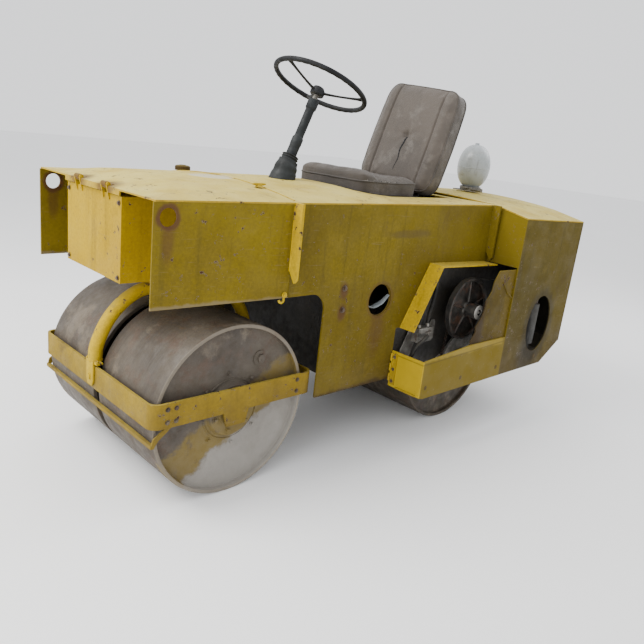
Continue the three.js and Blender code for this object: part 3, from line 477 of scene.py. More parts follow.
def bonnet_marks(f, colour):
    """On the bonnet: a blank washed patch, fine cracks in the paint and rust at its front."""
    patch = f.times(f.spot((0.79, 0.03, 1.19), (0.088, 0.080, 0.4), 0.12, 0.5), 0.75)
    colour = f.mix(patch, colour, tone(226, 219, 198))
    crack = f.between(f.cells(9.0), 0.009, 0.002, 0.35)
    where = f.between(f.noise(3.1, 3), 0.5, 0.6)
    colour = f.mix(f.times(crack, where), colour, tone(116, 92, 44))
    hinges = [f.spot((1.275, y, 1.16), (0.05, 0.06, 0.05), 0.5, 0.8) for y in (0.11, -0.11)]
    colour = f.lay(colour, f.larger(*hinges), 0.8, RUST)
    f.raise_by(f.times(crack, where), -0.0005)
    return colour


def nose_marks(f, colour):
    """On the nose plates: rust round the lifting hole, with a run below it, and a scraped foot."""
    for y in (0.462, -0.462):
        ring = f.spot((1.232, y, 1.108), (0.046, 0.05, 0.046), 0.15, 0.5)
        colour = f.lay(colour, ring, 0.85, RUST)
        run = f.spot((1.232, y, 1.03), (0.022, 0.05, 0.075), 0.5, 0.6)
        colour = f.lay(colour, run, 0.5, RUST)
    foot = f.between(f.plus(f.along("Z"), f.times(f.noise(16, 5), 0.03)), 0.828, 0.818)
    return f.lay(colour, foot, 0.6, PRIMER)


def middle_marks(f, colour):
    """On the middle plate: rust weeping from the round port and the bolts, and a rubbed foot."""
    port = f.spot((ROUND_PORT[0], MIDDLE_FACE, ROUND_PORT[1]), (0.088, 0.05, 0.088), 0.06, 0.35)
    colour = f.lay(colour, port, 0.55, tone(104, 78, 36))
    weep = f.spot((ROUND_PORT[0], MIDDLE_FACE, 0.60), (0.05, 0.05, 0.11), 0.6, 0.7)
    colour = f.lay(colour, weep, 0.45, RUST)
    for z in (0.810, 0.716):
        stain = f.spot((0.401, MIDDLE_FACE, z - 0.012), (0.022, 0.05, 0.036), 0.5, 0.5)
        colour = f.lay(colour, stain, 0.8, RUST)
    scuff = f.spot((0.02, MIDDLE_FACE, 1.03), (0.16, 0.05, 0.018), 0.4, 1.1)
    colour = f.lay(colour, scuff, 0.55, tone(100, 84, 44))
    foot = f.between(f.plus(f.along("Z"), f.times(f.noise(16, 5), 0.05)), 0.385, 0.360)
    return f.lay(colour, foot, 0.7, DARK_RUST)


def housing_marks(f, colour):
    """On the rear housing: black oil thrown round the oval port, a painted highlight along the
    guard's top edge, a painted lit front face, a painted shadow in a crease and painted shade
    inside it.
    """
    port = f.spot((-0.99, HOUSING_FACE, 0.53), (0.16, 0.06, 0.205), 0.12, 0.4)
    colour = f.lay(colour, port, 0.6, tone(62, 54, 34))
    run = f.spot((-0.93, HOUSING_FACE, 0.36), (0.10, 0.06, 0.10), 0.6, 0.8)
    colour = f.lay(colour, run, 0.55, SOOT)
    # Painted highlight: a pale line along the guard's top edge, as the light on a lip.
    top = f.between(f.plus(f.along("Z"), f.times(f.noise(20, 5), 0.03)), 0.482, 0.496)
    near = f.between(f.along("Z"), 0.53, 0.515)
    where = f.between(f.along("X"), -0.66, -0.62)
    share = f.times(f.times(top, near), f.times(where, 0.75))
    colour = f.mix(share, colour, tone(202, 174, 84))
    box = f.times(f.between(f.along("X"), -0.668, -0.655), 0.55)
    colour = f.mix(box, colour, tone(156, 132, 14))
    # Painted light: the front face takes a bright yellow, as the face lit by the key light.
    front = f.times(f.between(f.along("X"), 0.010, 0.019), 0.85)
    lit_face_yellow = f.mix(f.noise(14, 6, 0.65), tone(236, 200, 20), tone(198, 162, 14))
    colour = f.mix(front, colour, lit_face_yellow)
    for x in (-0.02, -0.30, -0.62, -1.02):
        bolt = f.spot((x, HOUSING_FACE, 0.345), (0.011, 0.05, 0.011), 0.12)
        colour = f.lay(colour, bolt, 0.85, tone(92, 74, 40))
        f.raise_by(bolt, 0.0015)
    # Painted shadow: a dark line down a crease in the sheet.
    crease_shadow = f.plus(f.along("Z"), f.times(f.along("X"), 0.034))
    crease_shadow = f.size_of(f.minus(crease_shadow, 0.462))
    line = f.times(f.between(crease_shadow, 0.005, 0.0015, 0.5), f.between(f.along("X"), -0.70, -0.62))
    colour = f.mix(line, colour, tone(84, 68, 30))
    across_rear = f.minus(f.size_of(f.along("Y")), 0.47)
    up_rear = f.minus(f.size_of(f.minus(f.along("Z"), 0.745)), 0.265)
    seam = f.size_of(f.larger(across_rear, up_rear))
    at_rear = f.between(f.along("X"), -1.2845, -1.2852)
    seam = f.times(f.between(seam, 0.0045, 0.0020), at_rear)
    colour = f.lay(colour, seam, 0.9, SOOT)
    f.raise_by(f.between(seam, 1, 0), 0.003)
    for y in (-0.43, 0.43):
        for z in (0.53, 0.745, 0.96):
            screw = f.times(f.spot((-1.286, y, z), (0.05, 0.012, 0.012), 0.12), at_rear)
            weep = f.times(f.spot((-1.286, y, z - 0.03), (0.05, 0.014, 0.045), 0.6, 0.6), at_rear)
            colour = f.lay(colour, weep, 0.55, RUST)
            colour = f.lay(colour, screw, 0.9, DARK_RUST)
            f.raise_by(screw, 0.002)
    # Painted shade: the housing's inside, behind its outer skin, is darkened almost to black.
    inner = f.times(f.between(f.size_of(f.along("Y")), 0.678, 0.675), 0.92)
    inner = f.times(inner, f.between(f.along("X"), -0.6640, -0.6655))
    inner = f.times(inner, f.between(f.along("X"), -1.2830, -1.2800))
    return f.mix(inner, colour, SOOT)


def cover_marks(f, colour):
    """On the torn cover: bare rusty metal along the tear and oil streaks fanning from the shaft."""
    distance = f.away((-0.44, 0.67, 0.65))
    oil = f.between(distance, 0.26, 0.07, 0.8)
    colour = f.mix(f.times(oil, f.noise(9, 6, 0.7)), colour, SOOT)
    tear = f.plus(f.along("X"), f.times(f.noise(24, 6, 0.7), 0.05))
    return f.mix(f.between(tear, -0.43, -0.39, 0.7), colour, DARK_RUST)


# Copies of one yellow paint, lit and shaded. The side, nose, middle, housing and cover yellows are
# darker: painted shade for faces turned away from the key light, over their grime. The tank's,
# guard's and bonnet's yellows are lighter: painted light for the faces that meet it.
side_paint = painted_sheet("side_paint", MUSTARD, MUSTARD_SHADE, MUSTARD_PALE, 0.4, 0.35, 0.0)
nose_paint = painted_sheet(
    "nose_paint", MUSTARD, MUSTARD_SHADE, MUSTARD_PALE, 0.3, 0.2, 3.1, nose_marks
)
middle_paint = painted_sheet(
    "middle_paint", tone(133, 113, 8), tone(117, 98, 7), MUSTARD_PALE, 0.4, 0.15, 5.3, middle_marks
)
housing_paint = painted_sheet(
    "housing_paint", tone(104, 88, 8), tone(90, 76, 7), MUSTARD_PALE, 0.6, 0.5, 7.7, housing_marks
)
cover_paint = painted_sheet(
    "cover_paint", tone(122, 100, 6), tone(104, 85, 5), MUSTARD_PALE, 0.9, 0.9, 9.2, cover_marks
)
bonnet_paint = painted_sheet(
    "bonnet_paint", tone(208, 174, 50), tone(192, 154, 36), tone(240, 220, 122), 0.35, 0.6, 11.0,
    bonnet_marks,
)
tank_paint = painted_sheet(
    "tank_paint", tone(208, 170, 4), tone(194, 156, 4), MUSTARD_PALE, 0.25, 0.3, 13.4
)
frame_paint = painted_sheet(
    "frame_paint", tone(200, 166, 18), tone(176, 144, 12), MUSTARD_PALE, 0.7, 0.45, 15.8
)
guard_paint = painted_sheet(
    "guard_paint", tone(232, 194, 16), tone(212, 174, 12), MUSTARD_PALE, 0.4, 0.6, 17.1
)


def rolled_steel(name, base, dark, bright, polish=0.5, end_mark=None):
    """Drum steel: brown rust in clouds and rings round the barrel, rubbed bright in patches, with
    pits and dried mud. Rings follow the distance along the axle."""
    f = Finish(name)
    clouds = f.between(f.noise(5, 6, 0.62), 0.34, 0.66)
    colour = f.mix(clouds, dark, base)
    rings = f.between(f.noise(7, 5, 0.7, (0.25, 9, 0.25)), 0.42, 0.7, 0.6)
    colour = f.mix(rings, colour, bright)
    rust = f.between(f.noise(13, 7, 0.68, (1, 1, 1), (2, 5, 1)), 0.5, 0.68, 0.75)
    colour = f.mix(rust, colour, tone(98, 74, 56))
    mud = f.between(f.noise(3.7, 8, 0.7, (1, 1, 1), (7, 1, 4)), 0.56, 0.66, 0.7)
    colour = f.mix(mud, colour, tone(138, 124, 104))
    grain = f.between(f.noise(140, 5, 0.7), 0.3, 0.7, 0.30)
    colour = f.mix(grain, colour, dark)
    metal = f.between(rings, 0.1, 0.6, polish)
    if end_mark:
        colour, metal = end_mark(f, colour, metal)
    rough = f.between(f.noise(19, 6, 0.65), 0.3, 0.7, 0.82, 0.5)
    f.raise_by(f.noise(95, 6, 0.7), 0.0012)
    f.raise_by(f.noise(12, 4, 0.6), 0.003)
    f.raise_by(rust, 0.0006)
    return f.done(colour, rough, metal)


def end_disc(f, colour, metal):
    """On the ends of the front drum: a painted ring low on the disc, bare grey steel at the foot,
    lit up pale as painted light thrown up from the floor, and rust over the top. The borders wander
    with noise."""
    outside = f.between(f.size_of(f.along("Y")), 0.416, 0.424)
    slope = f.times(f.minus(f.along("X"), 1.0), 0.514)
    slope = f.plus(slope, f.times(f.minus(f.along("Z"), 0.24), 0.857))
    slope = f.plus(slope, f.times(f.minus(f.noise(7, 6, 0.66), 0.5), 0.17))
    # Painted light: the bare foot of the disc is pale grey, lit by light thrown up from the floor.
    bare_and_floor_lit = f.times(f.between(slope, -0.055, -0.085), outside)
    painted = f.times(f.between(slope, 0.085, 0.055), f.between(slope, -0.085, -0.055))
    painted = f.times(painted, outside)
    scuffed = f.times(painted, f.between(f.noise(15, 7, 0.7), 0.64, 0.50, 0.92, 0.35))
    ring_paint = f.mix(f.noise(6, 5), tone(146, 122, 44), tone(112, 94, 44))
    colour = f.mix(scuffed, colour, ring_paint)
    bright = f.mix(f.noise(9, 6, 0.65), tone(186, 181, 172), tone(150, 143, 133))
    colour = f.lay(colour, bare_and_floor_lit, 0.92, bright)
    rim = f.between(f.away((0.901, 0, 0.35), (1, 1e6, 1)), 0.333, 0.337)
    rim = f.times(rim, f.between(f.size_of(f.along("Y")), 0.446, 0.449))
    colour = f.lay(colour, rim, 0.7, tone(150, 138, 120))
    return colour, f.times(metal, f.between(scuffed, 0.5, 0.0))


drum_steel = rolled_steel(
    "drum_steel", tone(100, 89, 75), tone(72, 62, 51), tone(118, 109, 94), 0.35, end_disc
)
rear_drum_steel = rolled_steel(
    "rear_drum_steel", tone(82, 71, 53), tone(54, 45, 34), tone(98, 88, 72), 0.35
)


def machine_steel(name, base, dark, rust_share=0.4, polish=0.7, grain=(1, 1, 1)):
    """Turned or rolled steel that has been oiled and has begun to rust in blotches."""
    f = Finish(name)
    colour = f.mix(f.between(f.noise(18, 5, 0.6), 0.35, 0.65), dark, base)
    begin = 0.60 - 0.2 * rust_share
    rust = f.between(f.noise(26, 7, 0.68, shift=(4, 2, 9)), begin, begin + 0.12)
    colour = f.lay(colour, rust, 0.85, f.mix(f.noise(50, 4), RUST, DARK_RUST))
    oil = f.between(f.noise(8, 5, 0.6, shift=(1, 8, 3)), 0.55, 0.7, 0.6)
    colour = f.mix(oil, colour, SOOT)
    rough = f.between(f.noise(30, 5, 0.6), 0.3, 0.7, 0.62, 0.3)
    f.raise_by(f.noise(220, 3, 0.6, grain), 0.0003)
    f.raise_by(rust, 0.0004)
    return f.done(colour, rough, f.between(rust, 1.0, 0.0, polish, 0.1))


bright_steel = machine_steel("bright_steel", tone(170, 166, 158), tone(120, 116, 108), 0.3)
bolt_steel = machine_steel("bolt_steel", tone(132, 118, 92), tone(92, 78, 58), 0.9, 0.4)
pulley_iron = machine_steel("pulley_iron", tone(84, 80, 74), tone(46, 44, 41), 0.5, 0.55)
hub_steel = machine_steel("hub_steel", tone(232, 228, 220), tone(186, 181, 172), 0.0, 0.45)
chain_steel = machine_steel("chain_steel", tone(96, 84, 70), tone(48, 42, 36), 0.7, 0.5)


def dark_iron(name, base, dark, oily=0.5):
    """Cast iron and plate painted dark, with dry dust on top and wet oil below."""
    f = Finish(name)
    colour = f.mix(f.between(f.noise(6, 6, 0.62), 0.35, 0.65), dark, base)
    dust = f.times(f.between(f.facing_up(), 0.3, 0.95), f.noise(12, 6, 0.66))
    colour = f.lay(colour, dust, 0.8, tone(120, 108, 88))
    rust = f.between(f.noise(24, 7, 0.7, shift=(3, 3, 1)), 0.58, 0.70, 0.7)
    colour = f.mix(rust, colour, DARK_RUST)
    wet = f.between(f.noise(5, 4, 0.6, shift=(9, 2, 6)), 0.48, 0.62, oily)
    rough = f.minus(f.between(f.noise(33, 4), 0.3, 0.7, 0.85, 0.6), f.times(wet, 0.35))
    f.raise_by(f.noise(130, 5, 0.6), 0.0009)
    f.raise_by(f.noise(14, 3, 0.5), 0.002)
    return f.done(colour, rough, 0.0)


# Painted shade: the inside plates take a near-black iron that stands for the shade inside the body.
inside_shade_iron = dark_iron("inside_shade_iron", tone(58, 54, 47), tone(36, 33, 29), 0.7)
engine_iron = dark_iron("engine_iron", tone(82, 80, 74), tone(46, 44, 40), 0.8)
frame_iron = dark_iron("frame_iron", tone(50, 47, 44), tone(34, 32, 30), 0.3)


def moulded_rubber(name, base, dull, dust=0.4, fine=260):
    """Black rubber gone grey: a pebbled skin, dust in the hollows and a dull bloom."""
    f = Finish(name)
    bloom = f.between(f.noise(14, 5, 0.62), 0.35, 0.68)
    colour = f.mix(bloom, base, dull)
    top = f.times(f.between(f.facing_up(), 0.2, 0.95), f.noise(20, 5, 0.62))
    colour = f.mix(f.times(top, dust), colour, tone(100, 96, 88))
    rubbed = f.between(f.noise(40, 5, 0.65, shift=(2, 2, 2)), 0.6, 0.72, 0.4)
    colour = f.mix(rubbed, colour, tone(66, 67, 68))
    rough = f.between(f.noise(33, 5, 0.6), 0.3, 0.7, 0.78, 0.5)
    f.raise_by(f.noise(fine, 4, 0.65), 0.0004)
    f.raise_by(f.noise(45, 3, 0.5), 0.0005)
    return f.done(colour, rough, 0.0, Specular_IOR_Level=0.22)


rim_rubber = moulded_rubber("rim_rubber", tone(22, 23, 26), tone(38, 40, 43), 0.2)
column_rubber = moulded_rubber("column_rubber", tone(34, 37, 39), tone(52, 56, 58), 0.25)
belt_rubber = moulded_rubber("belt_rubber", tone(36, 35, 34), tone(66, 62, 56), 0.7, 400)


def seat_hide(name, base, shade, worn):
    """Seat vinyl: a fine leather grain, creases, sun-bleached and rubbed areas, grime in the dips
    and short cracks."""
    f = Finish(name)
    colour = f.mix(f.between(f.noise(5.5, 5, 0.6), 0.34, 0.66), shade, base)
    rub = f.between(f.noise(11, 6, 0.66, shift=(3, 1, 7)), 0.5, 0.7, 0.55)
    colour = f.mix(rub, colour, worn)
    streak = f.between(f.noise(9, 5, 0.6, (3.5, 3.5, 0.5), (1, 4, 2)), 0.52, 0.72, 0.35)
    colour = f.mix(streak, colour, shade)
    grain = f.cells(330)
    colour = f.mix(f.between(grain, 0.10, 0.0, 0.35), colour, tone(62, 56, 50))
    crack = f.between(f.cells(28, (1, 1, 0.6)), 0.012, 0.003)
    where = f.between(f.noise(4.2, 4, shift=(8, 8, 2)), 0.55, 0.66)
    colour = f.mix(f.times(crack, where), colour, tone(48, 42, 38))
    colour = f.mix(f.between(f.facing_up(), 0.5, 1.0, 0.30), colour, worn)
    rough = f.between(rub, 0.0, 0.5, 0.48, 0.66)
    f.raise_by(f.between(grain, 0.0, 0.16), 0.0004)
    f.raise_by(f.noise(30, 4, 0.55, (1, 1, 1.8)), 0.0022)
    f.raise_by(f.times(crack, where), -0.0012)
    return f.done(colour, rough, 0.0, Sheen_Weight=0.12, Sheen_Roughness=0.5)


seat_vinyl = seat_hide(
    "seat_vinyl", tone(99, 88, 78), tone(79, 70, 61), tone(122, 112, 101)
)
cushion_vinyl = seat_hide(
    "cushion_vinyl", tone(84, 73, 62), tone(64, 55, 47), tone(110, 99, 87)
)
piping_vinyl = seat_hide(
    "piping_vinyl", tone(82, 73, 65), tone(64, 57, 50), tone(104, 95, 86)
)


def torn_foam():
    """Foam and backing that show through a tear: pale crumbs over dark cloth."""
    f = Finish("torn_foam")
    crumbs = f.between(f.noise(240, 5, 0.7), 0.5, 0.62)
    colour = f.mix(crumbs, tone(46, 40, 36), tone(206, 200, 186))
    f.raise_by(f.noise(180, 5, 0.7), 0.0015)
    return f.done(colour, f.between(crumbs, 0, 1, 0.98, 0.85), 0.0)


foam = torn_foam()


def clear_bowl():
    """The air cleaner's bowl: grey-white moulded plastic with dust drifts and fine scratches."""
    f = Finish("bowl_moulding")
    clouds = f.between(f.noise(7, 5, 0.6), 0.35, 0.68)
    colour = f.mix(clouds, tone(200, 206, 208), tone(176, 184, 187))
    dust = f.between(f.noise(9, 7, 0.68, (1, 1, 2.4)), 0.52, 0.7, 0.6)
    colour = f.mix(dust, colour, tone(160, 154, 142))
    drip = f.between(f.noise(16, 4, 0.6, (2.5, 2.5, 0.25)), 0.58, 0.72, 0.4)
    colour = f.mix(drip, colour, tone(122, 118, 110))
    rough = f.between(f.noise(40, 5), 0.3, 0.7, 0.42, 0.24)
    f.raise_by(f.noise(60, 3), 0.0003)
    return f.done(colour, rough, 0.0, Coat_Weight=0.25, Coat_Roughness=0.25)


bowl_plastic = clear_bowl()

# ---- Camera, light and floor ----


CAMERA_PLACE = (2.3250, 2.3049, 1.4180)
CAMERA_TURN = (-2.35653, -0.28167, -0.11224)  # yaw, pitch and roll, in radians


def look_direction(yaw, pitch, roll):
    """The camera's right, up and back directions: forward from yaw and pitch, then a roll."""
    forward = np.array([
        math.cos(yaw) * math.cos(pitch),
        math.sin(yaw) * math.cos(pitch),
        math.sin(pitch),
    ])
    right = np.array([math.sin(yaw), -math.cos(yaw), 0.0])
    down = np.cross(forward, right)
    turned_right = right * math.cos(roll) + down * math.sin(roll)
    turned_down = -right * math.sin(roll) + down * math.cos(roll)
    return turned_right, -turned_down, -forward


def set_camera():
    """A plain camera at a standing person's height, ahead of the left front corner."""
    data = bpy.data.cameras.new("camera")
    data.lens = 36.16
    data.sensor_width = 36.0
    camera = bpy.data.objects.new("camera", data)
    rows = zip(*look_direction(*CAMERA_TURN), CAMERA_PLACE)
    camera.matrix_world = Matrix((*rows, (0, 0, 0, 1)))
    bpy.context.scene.collection.objects.link(camera)
    bpy.context.scene.camera = camera


def soft_light(name, place, target, size, power, colour=(1, 1, 1)):
    """A square lamp that looks at a point."""
    data = bpy.data.lights.new(name, "AREA")
    data.size = size
    data.energy = power
    data.color = colour
    lamp = bpy.data.objects.new(name, data)
    lamp.location = place
    lamp.rotation_euler = (Vector(target) - Vector(place)).to_track_quat("-Z", "Y").to_euler()
    bpy.context.scene.collection.objects.link(lamp)


def set_light():
    """Key light from ahead and high on the right, a low fill from ahead, and a bright pale sky."""
    soft_light("key", (3.6, -1.2, 4.6), (0.0, 0.0, 0.8), 2.8, 330, (1.0, 0.985, 0.95))
    soft_light("fill", (5.2, 1.6, 1.6), (0.4, 0.3, 0.6), 2.0, 110, (0.97, 0.99, 1.0))
    soft_light("back", (-4.0, 1.0, 3.6), (-0.3, 0.0, 0.8), 2.5, 70)
    world = bpy.data.worlds.new("sky")
    world.use_nodes = True
    sky = world.node_tree.nodes["Background"]
    sky.inputs["Color"].default_value = (0.97, 0.98, 1.0, 1)
    sky.inputs["Strength"].default_value = 1.45
    bpy.context.scene.world = world


def lay_floor():
    """A wide plain floor: one flat grid, in a pale matt finish with faint unevenness."""
    f = Finish("floor_matt")
    colour = f.mix(f.noise(0.8, 3), (0.87, 0.87, 0.87, 1), (0.90, 0.90, 0.90, 1))
    look = f.done(colour, 0.9, 0.0)
    side = np.linspace(-30, 30, 9)
    x, y = np.meshgrid(side, side, indexing="ij")
    points = np.stack([x, y, np.zeros_like(x)], -1)
    index = np.arange(81).reshape(9, 9)
    faces = np.stack([index[:-1, :-1], index[1:, :-1], index[1:, 1:], index[:-1, 1:]], -1)
    mesh = bpy.data.meshes.new("floor")
    mesh.from_pydata(points.reshape(-1, 3).tolist(), [], faces.reshape(-1, 4).tolist())
    mesh.materials.append(look)
    floor = bpy.data.objects.new("floor", mesh)
    bpy.context.scene.collection.objects.link(floor)


set_camera()
set_light()
lay_floor()

# ---- Finishes on the parts that keep their shape ----

LOOKS = {
    nose_paint: ["front_side_plate_left", "front_side_plate_right"],
    middle_paint: ["mid_side_plate_left", "mid_side_plate_right"],
    housing_paint: ["rear_side_panel_left", "rear_side_panel_right", "rear_plate"],
    cover_paint: ["drive_cover"],
    bonnet_paint: ["hood_lid", "column_deck", "seat_deck", "rear_deck"],
    tank_paint: ["water_tank"],
    frame_paint: [
        "frame_bar_front", "frame_bar_rear", "frame_bar_left", "frame_bar_right", "front_scraper",
        "front_arm", "rear_arm",
    ],
    guard_paint: ["belt_guard_frame", "front_rib_left", "front_rib_right"],
    side_paint: [
        "rear_rib_left", "rear_rib_right", "head_plate_lower", "head_plate_upper", "steering_head",
    ],
    inside_shade_iron: ["bulkhead", "seat_platform", "hanger_plate_left", "hanger_plate_right"],
    engine_iron: ["engine", "steering_gearbox", "silencer"],
    frame_iron: ["seat_pan", "back_frame", "filler_cap", "travel_lever"],
    bright_steel: [
        "air_cleaner_base", "seat_rail_left", "seat_rail_right", "kingpin", "front_axle",
        "rear_axle", "drive_pulley", "engine_pulley", "steering_shaft",
    ],
    chain_steel: ["drive_chain"],
    bolt_steel: ["hood_latch"],
    belt_rubber: ["drive_belt"],
    column_rubber: ["steering_column", "column_boot"],
    rim_rubber: ["steering_wheel"],
    bowl_plastic: ["air_cleaner_bowl"],
    drum_steel: ["front_drum_left", "front_drum_right"],
    rear_drum_steel: ["rear_drum"],
    seat_vinyl: ["seat_back"],
    cushion_vinyl: ["seat_cushion"],
}
for look, names in LOOKS.items():
    for node_name in names:
        node = nodes[node_name]
        node.data.materials.clear()
        node.data.materials.append(look)

# ---- Front drum ----


def round_bolts(centre, axis, ring, count, size, height, turn=0.0):
    """Bolt heads on a circle about an axis, evenly spaced."""
    first, second = across(axis)
    angle = turn + np.linspace(0, FULL_TURN, count, endpoint=False)
    places = (
        np.asarray(centre, float)
        + ring * (np.cos(angle)[:, None] * first + np.sin(angle)[:, None] * second)
    )
    return bolts(places, axis, size, height)


def circle(centre, axis, radius, count=96):
    """Points evenly round a circle."""
    first, second = across(axis)
    angle = np.linspace(0, FULL_TURN, count, endpoint=False)
    return np.asarray(centre, float) + radius * (
        np.cos(angle)[:, None] * first + np.sin(angle)[:, None] * second
    )


def front_drum(side):
    """One half of the front drum: a shell with rolled edges, a set-back end disc, its hub with a
    bolted cap, a weld round the disc and a filler plug, all turned about the axle."""
    name = "front_drum_left" if side > 0 else "front_drum_right"
    axis = side * LEFT
    shell = [
        (0.0312, 0.030), (0.047, 0.030), (0.047, 0.414), (0.333, 0.414), (0.333, 0.026),
        (0.3345, 0.0245), (0.3482, 0.0245), (0.3500, 0.027), (0.3500, 0.446), (0.3490, 0.4485),
        (0.3465, 0.4497), (0.3375, 0.4497), (0.3352, 0.4485), (0.3342, 0.446), (0.3338, 0.429),
        (0.3310, 0.4262), (0.2600, 0.4250), (0.1700, 0.4262), (0.1250, 0.4262), (0.1130, 0.4285),
        (0.1060, 0.4440), (0.1030, 0.4470), (0.0640, 0.4470), (0.0620, 0.4490), (0.0312, 0.4490),
    ]
    parts = [
        turned(shell, FRONT_AXLE, axis, 128, closed=True),
        round_bolts(FRONT_AXLE + axis * 0.4466, axis, 0.084, 6, 0.014, 0.010, 0.3),
        round_bolts(FRONT_AXLE + axis * 0.4258, axis, 0.148, 8, 0.011, 0.011, 0.1),
        turned(
            [(0.031, 0.0), (0.031, 0.004), (0.017, 0.006), (0.016, 0.016), (0.012, 0.017)],
            FRONT_AXLE + axis * 0.4252 + np.array([-0.13, 0, 0.19]),
            axis,
            24,
        ),
    ]
    for ring, size in ((0.3325, 0.0032), (0.1262, 0.0038)):
        around = circle(FRONT_AXLE + axis * 0.4264, axis, ring, 360)
        bead = size * (1 + 0.2 * np.sin(np.arange(360) * 1.7))
        parts.append(swept(around, bead, 6, hint=axis, closed=True))
    body = "drum_" + name.replace("drum_", "")
    return piece(name + "_shell", parts, drum_steel, body, [name], 28)


front_drum(1)
front_drum(-1)


def rear_drum():
    """The rear drum: one wide shell with set-back end discs, hubs, welds and a filler plug."""
    half = [
        (0.0312, 0.449), (0.080, 0.449), (0.083, 0.447), (0.084, 0.430), (0.094, 0.4282),
        (0.330, 0.4282), (0.3335, 0.430), (0.3345, 0.447), (0.3365, 0.4495), (0.3475, 0.4497),
        (0.3500, 0.4470),
    ]
    profile = half + [(r, -y) for r, y in half[::-1]]
    axis = LEFT
    parts = [turned(profile, REAR_AXLE, axis, 128, closed=True)]
    for side in (1.0, -1.0):
        out = axis * side
        parts.append(round_bolts(REAR_AXLE + out * 0.4278, out, 0.125, 8, 0.012, 0.010))
        around = circle(REAR_AXLE + out * 0.4282, out, 0.332, 360)
        parts.append(swept(around, 0.0032, 6, hint=out, closed=True))
    plug = [(0.030, 0.0), (0.030, 0.004), (0.020, 0.006), (0.019, 0.014), (0.014, 0.015)]
    parts.append(turned(plug, REAR_AXLE + np.array([0.0, 0.4274, 0.21]), axis, 24))
    piece("rear_drum_shell", parts, rear_drum_steel, "drum_rear", ["rear_drum"], 28)


rear_drum()

# ---- Steering wheel and column ----


def wheel_point(forward, left, up):
    """A place given from the wheel's hub: forward and left in the wheel's plane, up its axis."""
    return (
        WHEEL_HUB
        + np.multiply.outer(forward, COLUMN_FORWARD)
        + np.multiply.outer(left, LEFT)
        + np.multiply.outer(up, COLUMN_UP)
    )


def steering_wheel():
    """The wheel: a ring whose section swells into finger grips on its underside, three flat spokes
    that rise outwards, and a stepped hub with a domed cap."""
    around, section = 288, 20
    a = np.linspace(0, FULL_TURN, around, endpoint=False)[:, None]
    s = np.linspace(0, FULL_TURN, section, endpoint=False)[None]
    under = np.clip(-np.sin(s), 0, 1)
    size = 0.0116 * (1 - 0.10 * under * (0.5 + 0.5 * np.cos(36 * a)))
    ring = 0.218 + size * np.cos(s)
    rim = wheel_point(ring * np.cos(a), ring * np.sin(a), 0.014 + size * np.sin(s))
    parts = [ring_skin(rim)]
    for turn in (0.0, 2.0944, 4.18879):
        along = np.linspace(0, 1, 14)
        reach = 0.022 + 0.194 * along
        rise = -0.017 + 0.030 * along**1.35
        path = wheel_point(reach * np.cos(turn), reach * np.sin(turn), rise)
        width = 0.0105 - 0.0030 * np.sin(np.pi * along) + 0.002 * (along > 0.9)
        parts.append(swept(path, 0.55 * width, 14, 1.8, hint=side_of(turn)))
    hub = [
        (0.0124, -0.0335), (0.030, -0.0335), (0.033, -0.030), (0.034, -0.012), (0.031, -0.006),
        (0.027, -0.0045), (0.0265, -0.001), (0.024, 0.003), (0.016, 0.0065), (0.004, 0.0078),
    ]
    parts.append(turned(hub, WHEEL_HUB, COLUMN_UP, 40))
    piece("wheel_moulding", parts, rim_rubber, "wheel", ["steering_wheel"], 35)


def side_of(turn):
    """The direction round the wheel at a given turn."""
    return -math.sin(turn) * COLUMN_FORWARD + math.cos(turn) * LEFT


steering_wheel()


def steering_column():
    """The column tube with a pinched collar, a bearing cup under the wheel and a clamp of two
    rings, turned about the column's line."""
    length = float(np.linalg.norm(WHEEL_HUB - COLUMN_FOOT))
    profile = [
        (0.0129, 0.0640), (0.0248, 0.0640), (0.0248, 0.1700), (0.0252, 0.1720), (0.0259, 0.1740),
        (0.0259, 0.2050), (0.0252, 0.2070), (0.0215, 0.2130), (0.0208, 0.2200), (0.0208, 0.3480),
        (0.0240, 0.3520), (0.0255, 0.3560), (0.0255, length - 0.0620), (0.0240, length - 0.0590),
        (0.0129, length - 0.0590),
    ]
    parts = [turned(profile, COLUMN_FOOT, COLUMN_UP, 40, closed=True)]
    for height in (0.1795, 0.1995):
        around = circle(COLUMN_FOOT + COLUMN_UP * height, COLUMN_UP, 0.0246, 48)
        parts.append(swept(around, 0.0013, 8, hint=COLUMN_UP, closed=True))
    piece("column_tube", parts, column_rubber, "chassis", ["steering_column"], 32)


steering_column()


def column_boot():
    """The boot at the column's foot. Its rings go from a level circle on the deck to a tilted one
    round the column; their radius falls along a bell line with three folds in it."""
    rings, sides = 40, 48
    t = np.linspace(0, 1, rings)
    foot = np.array([0.3795, 0.0, 1.2046])
    top = COLUMN_FOOT + COLUMN_UP * 0.1215
    bend = (t * (1.6 - 0.6 * t))[:, None]
    centre = foot + (top - foot) * bend
    centre[0] = foot
    level = UP
    tilt = np.clip(t * 2.2, 0, 1)[:, None]
    up = unit(level * (1 - tilt) + COLUMN_UP * tilt)
    folds = 0.0022 * np.sin(t * np.pi * 7) * (1 - t) * (t > 0.12)
    radius = 0.0370 + 0.0245 * (1 - t) ** 1.3 + folds
    radius[t > 0.62] = 0.0375 + 0.0022 * np.cos((t[t > 0.62] - 0.62) * 40)
    first = unit(np.cross(LEFT, up))
    second = np.cross(up, first)
    angle = np.linspace(0, FULL_TURN, sides, endpoint=False)
    points = centre[:, None] + radius[:, None, None] * (
        np.cos(angle)[None, :, None] * first[:, None]
        + np.sin(angle)[None, :, None] * second[:, None]
    )
    points[..., 2] = np.maximum(points[..., 2], 1.2046)
    piece("boot_rubber", [skin(points)], column_rubber, "chassis", ["column_boot"], 50)


column_boot()

# ---- Air cleaner ----


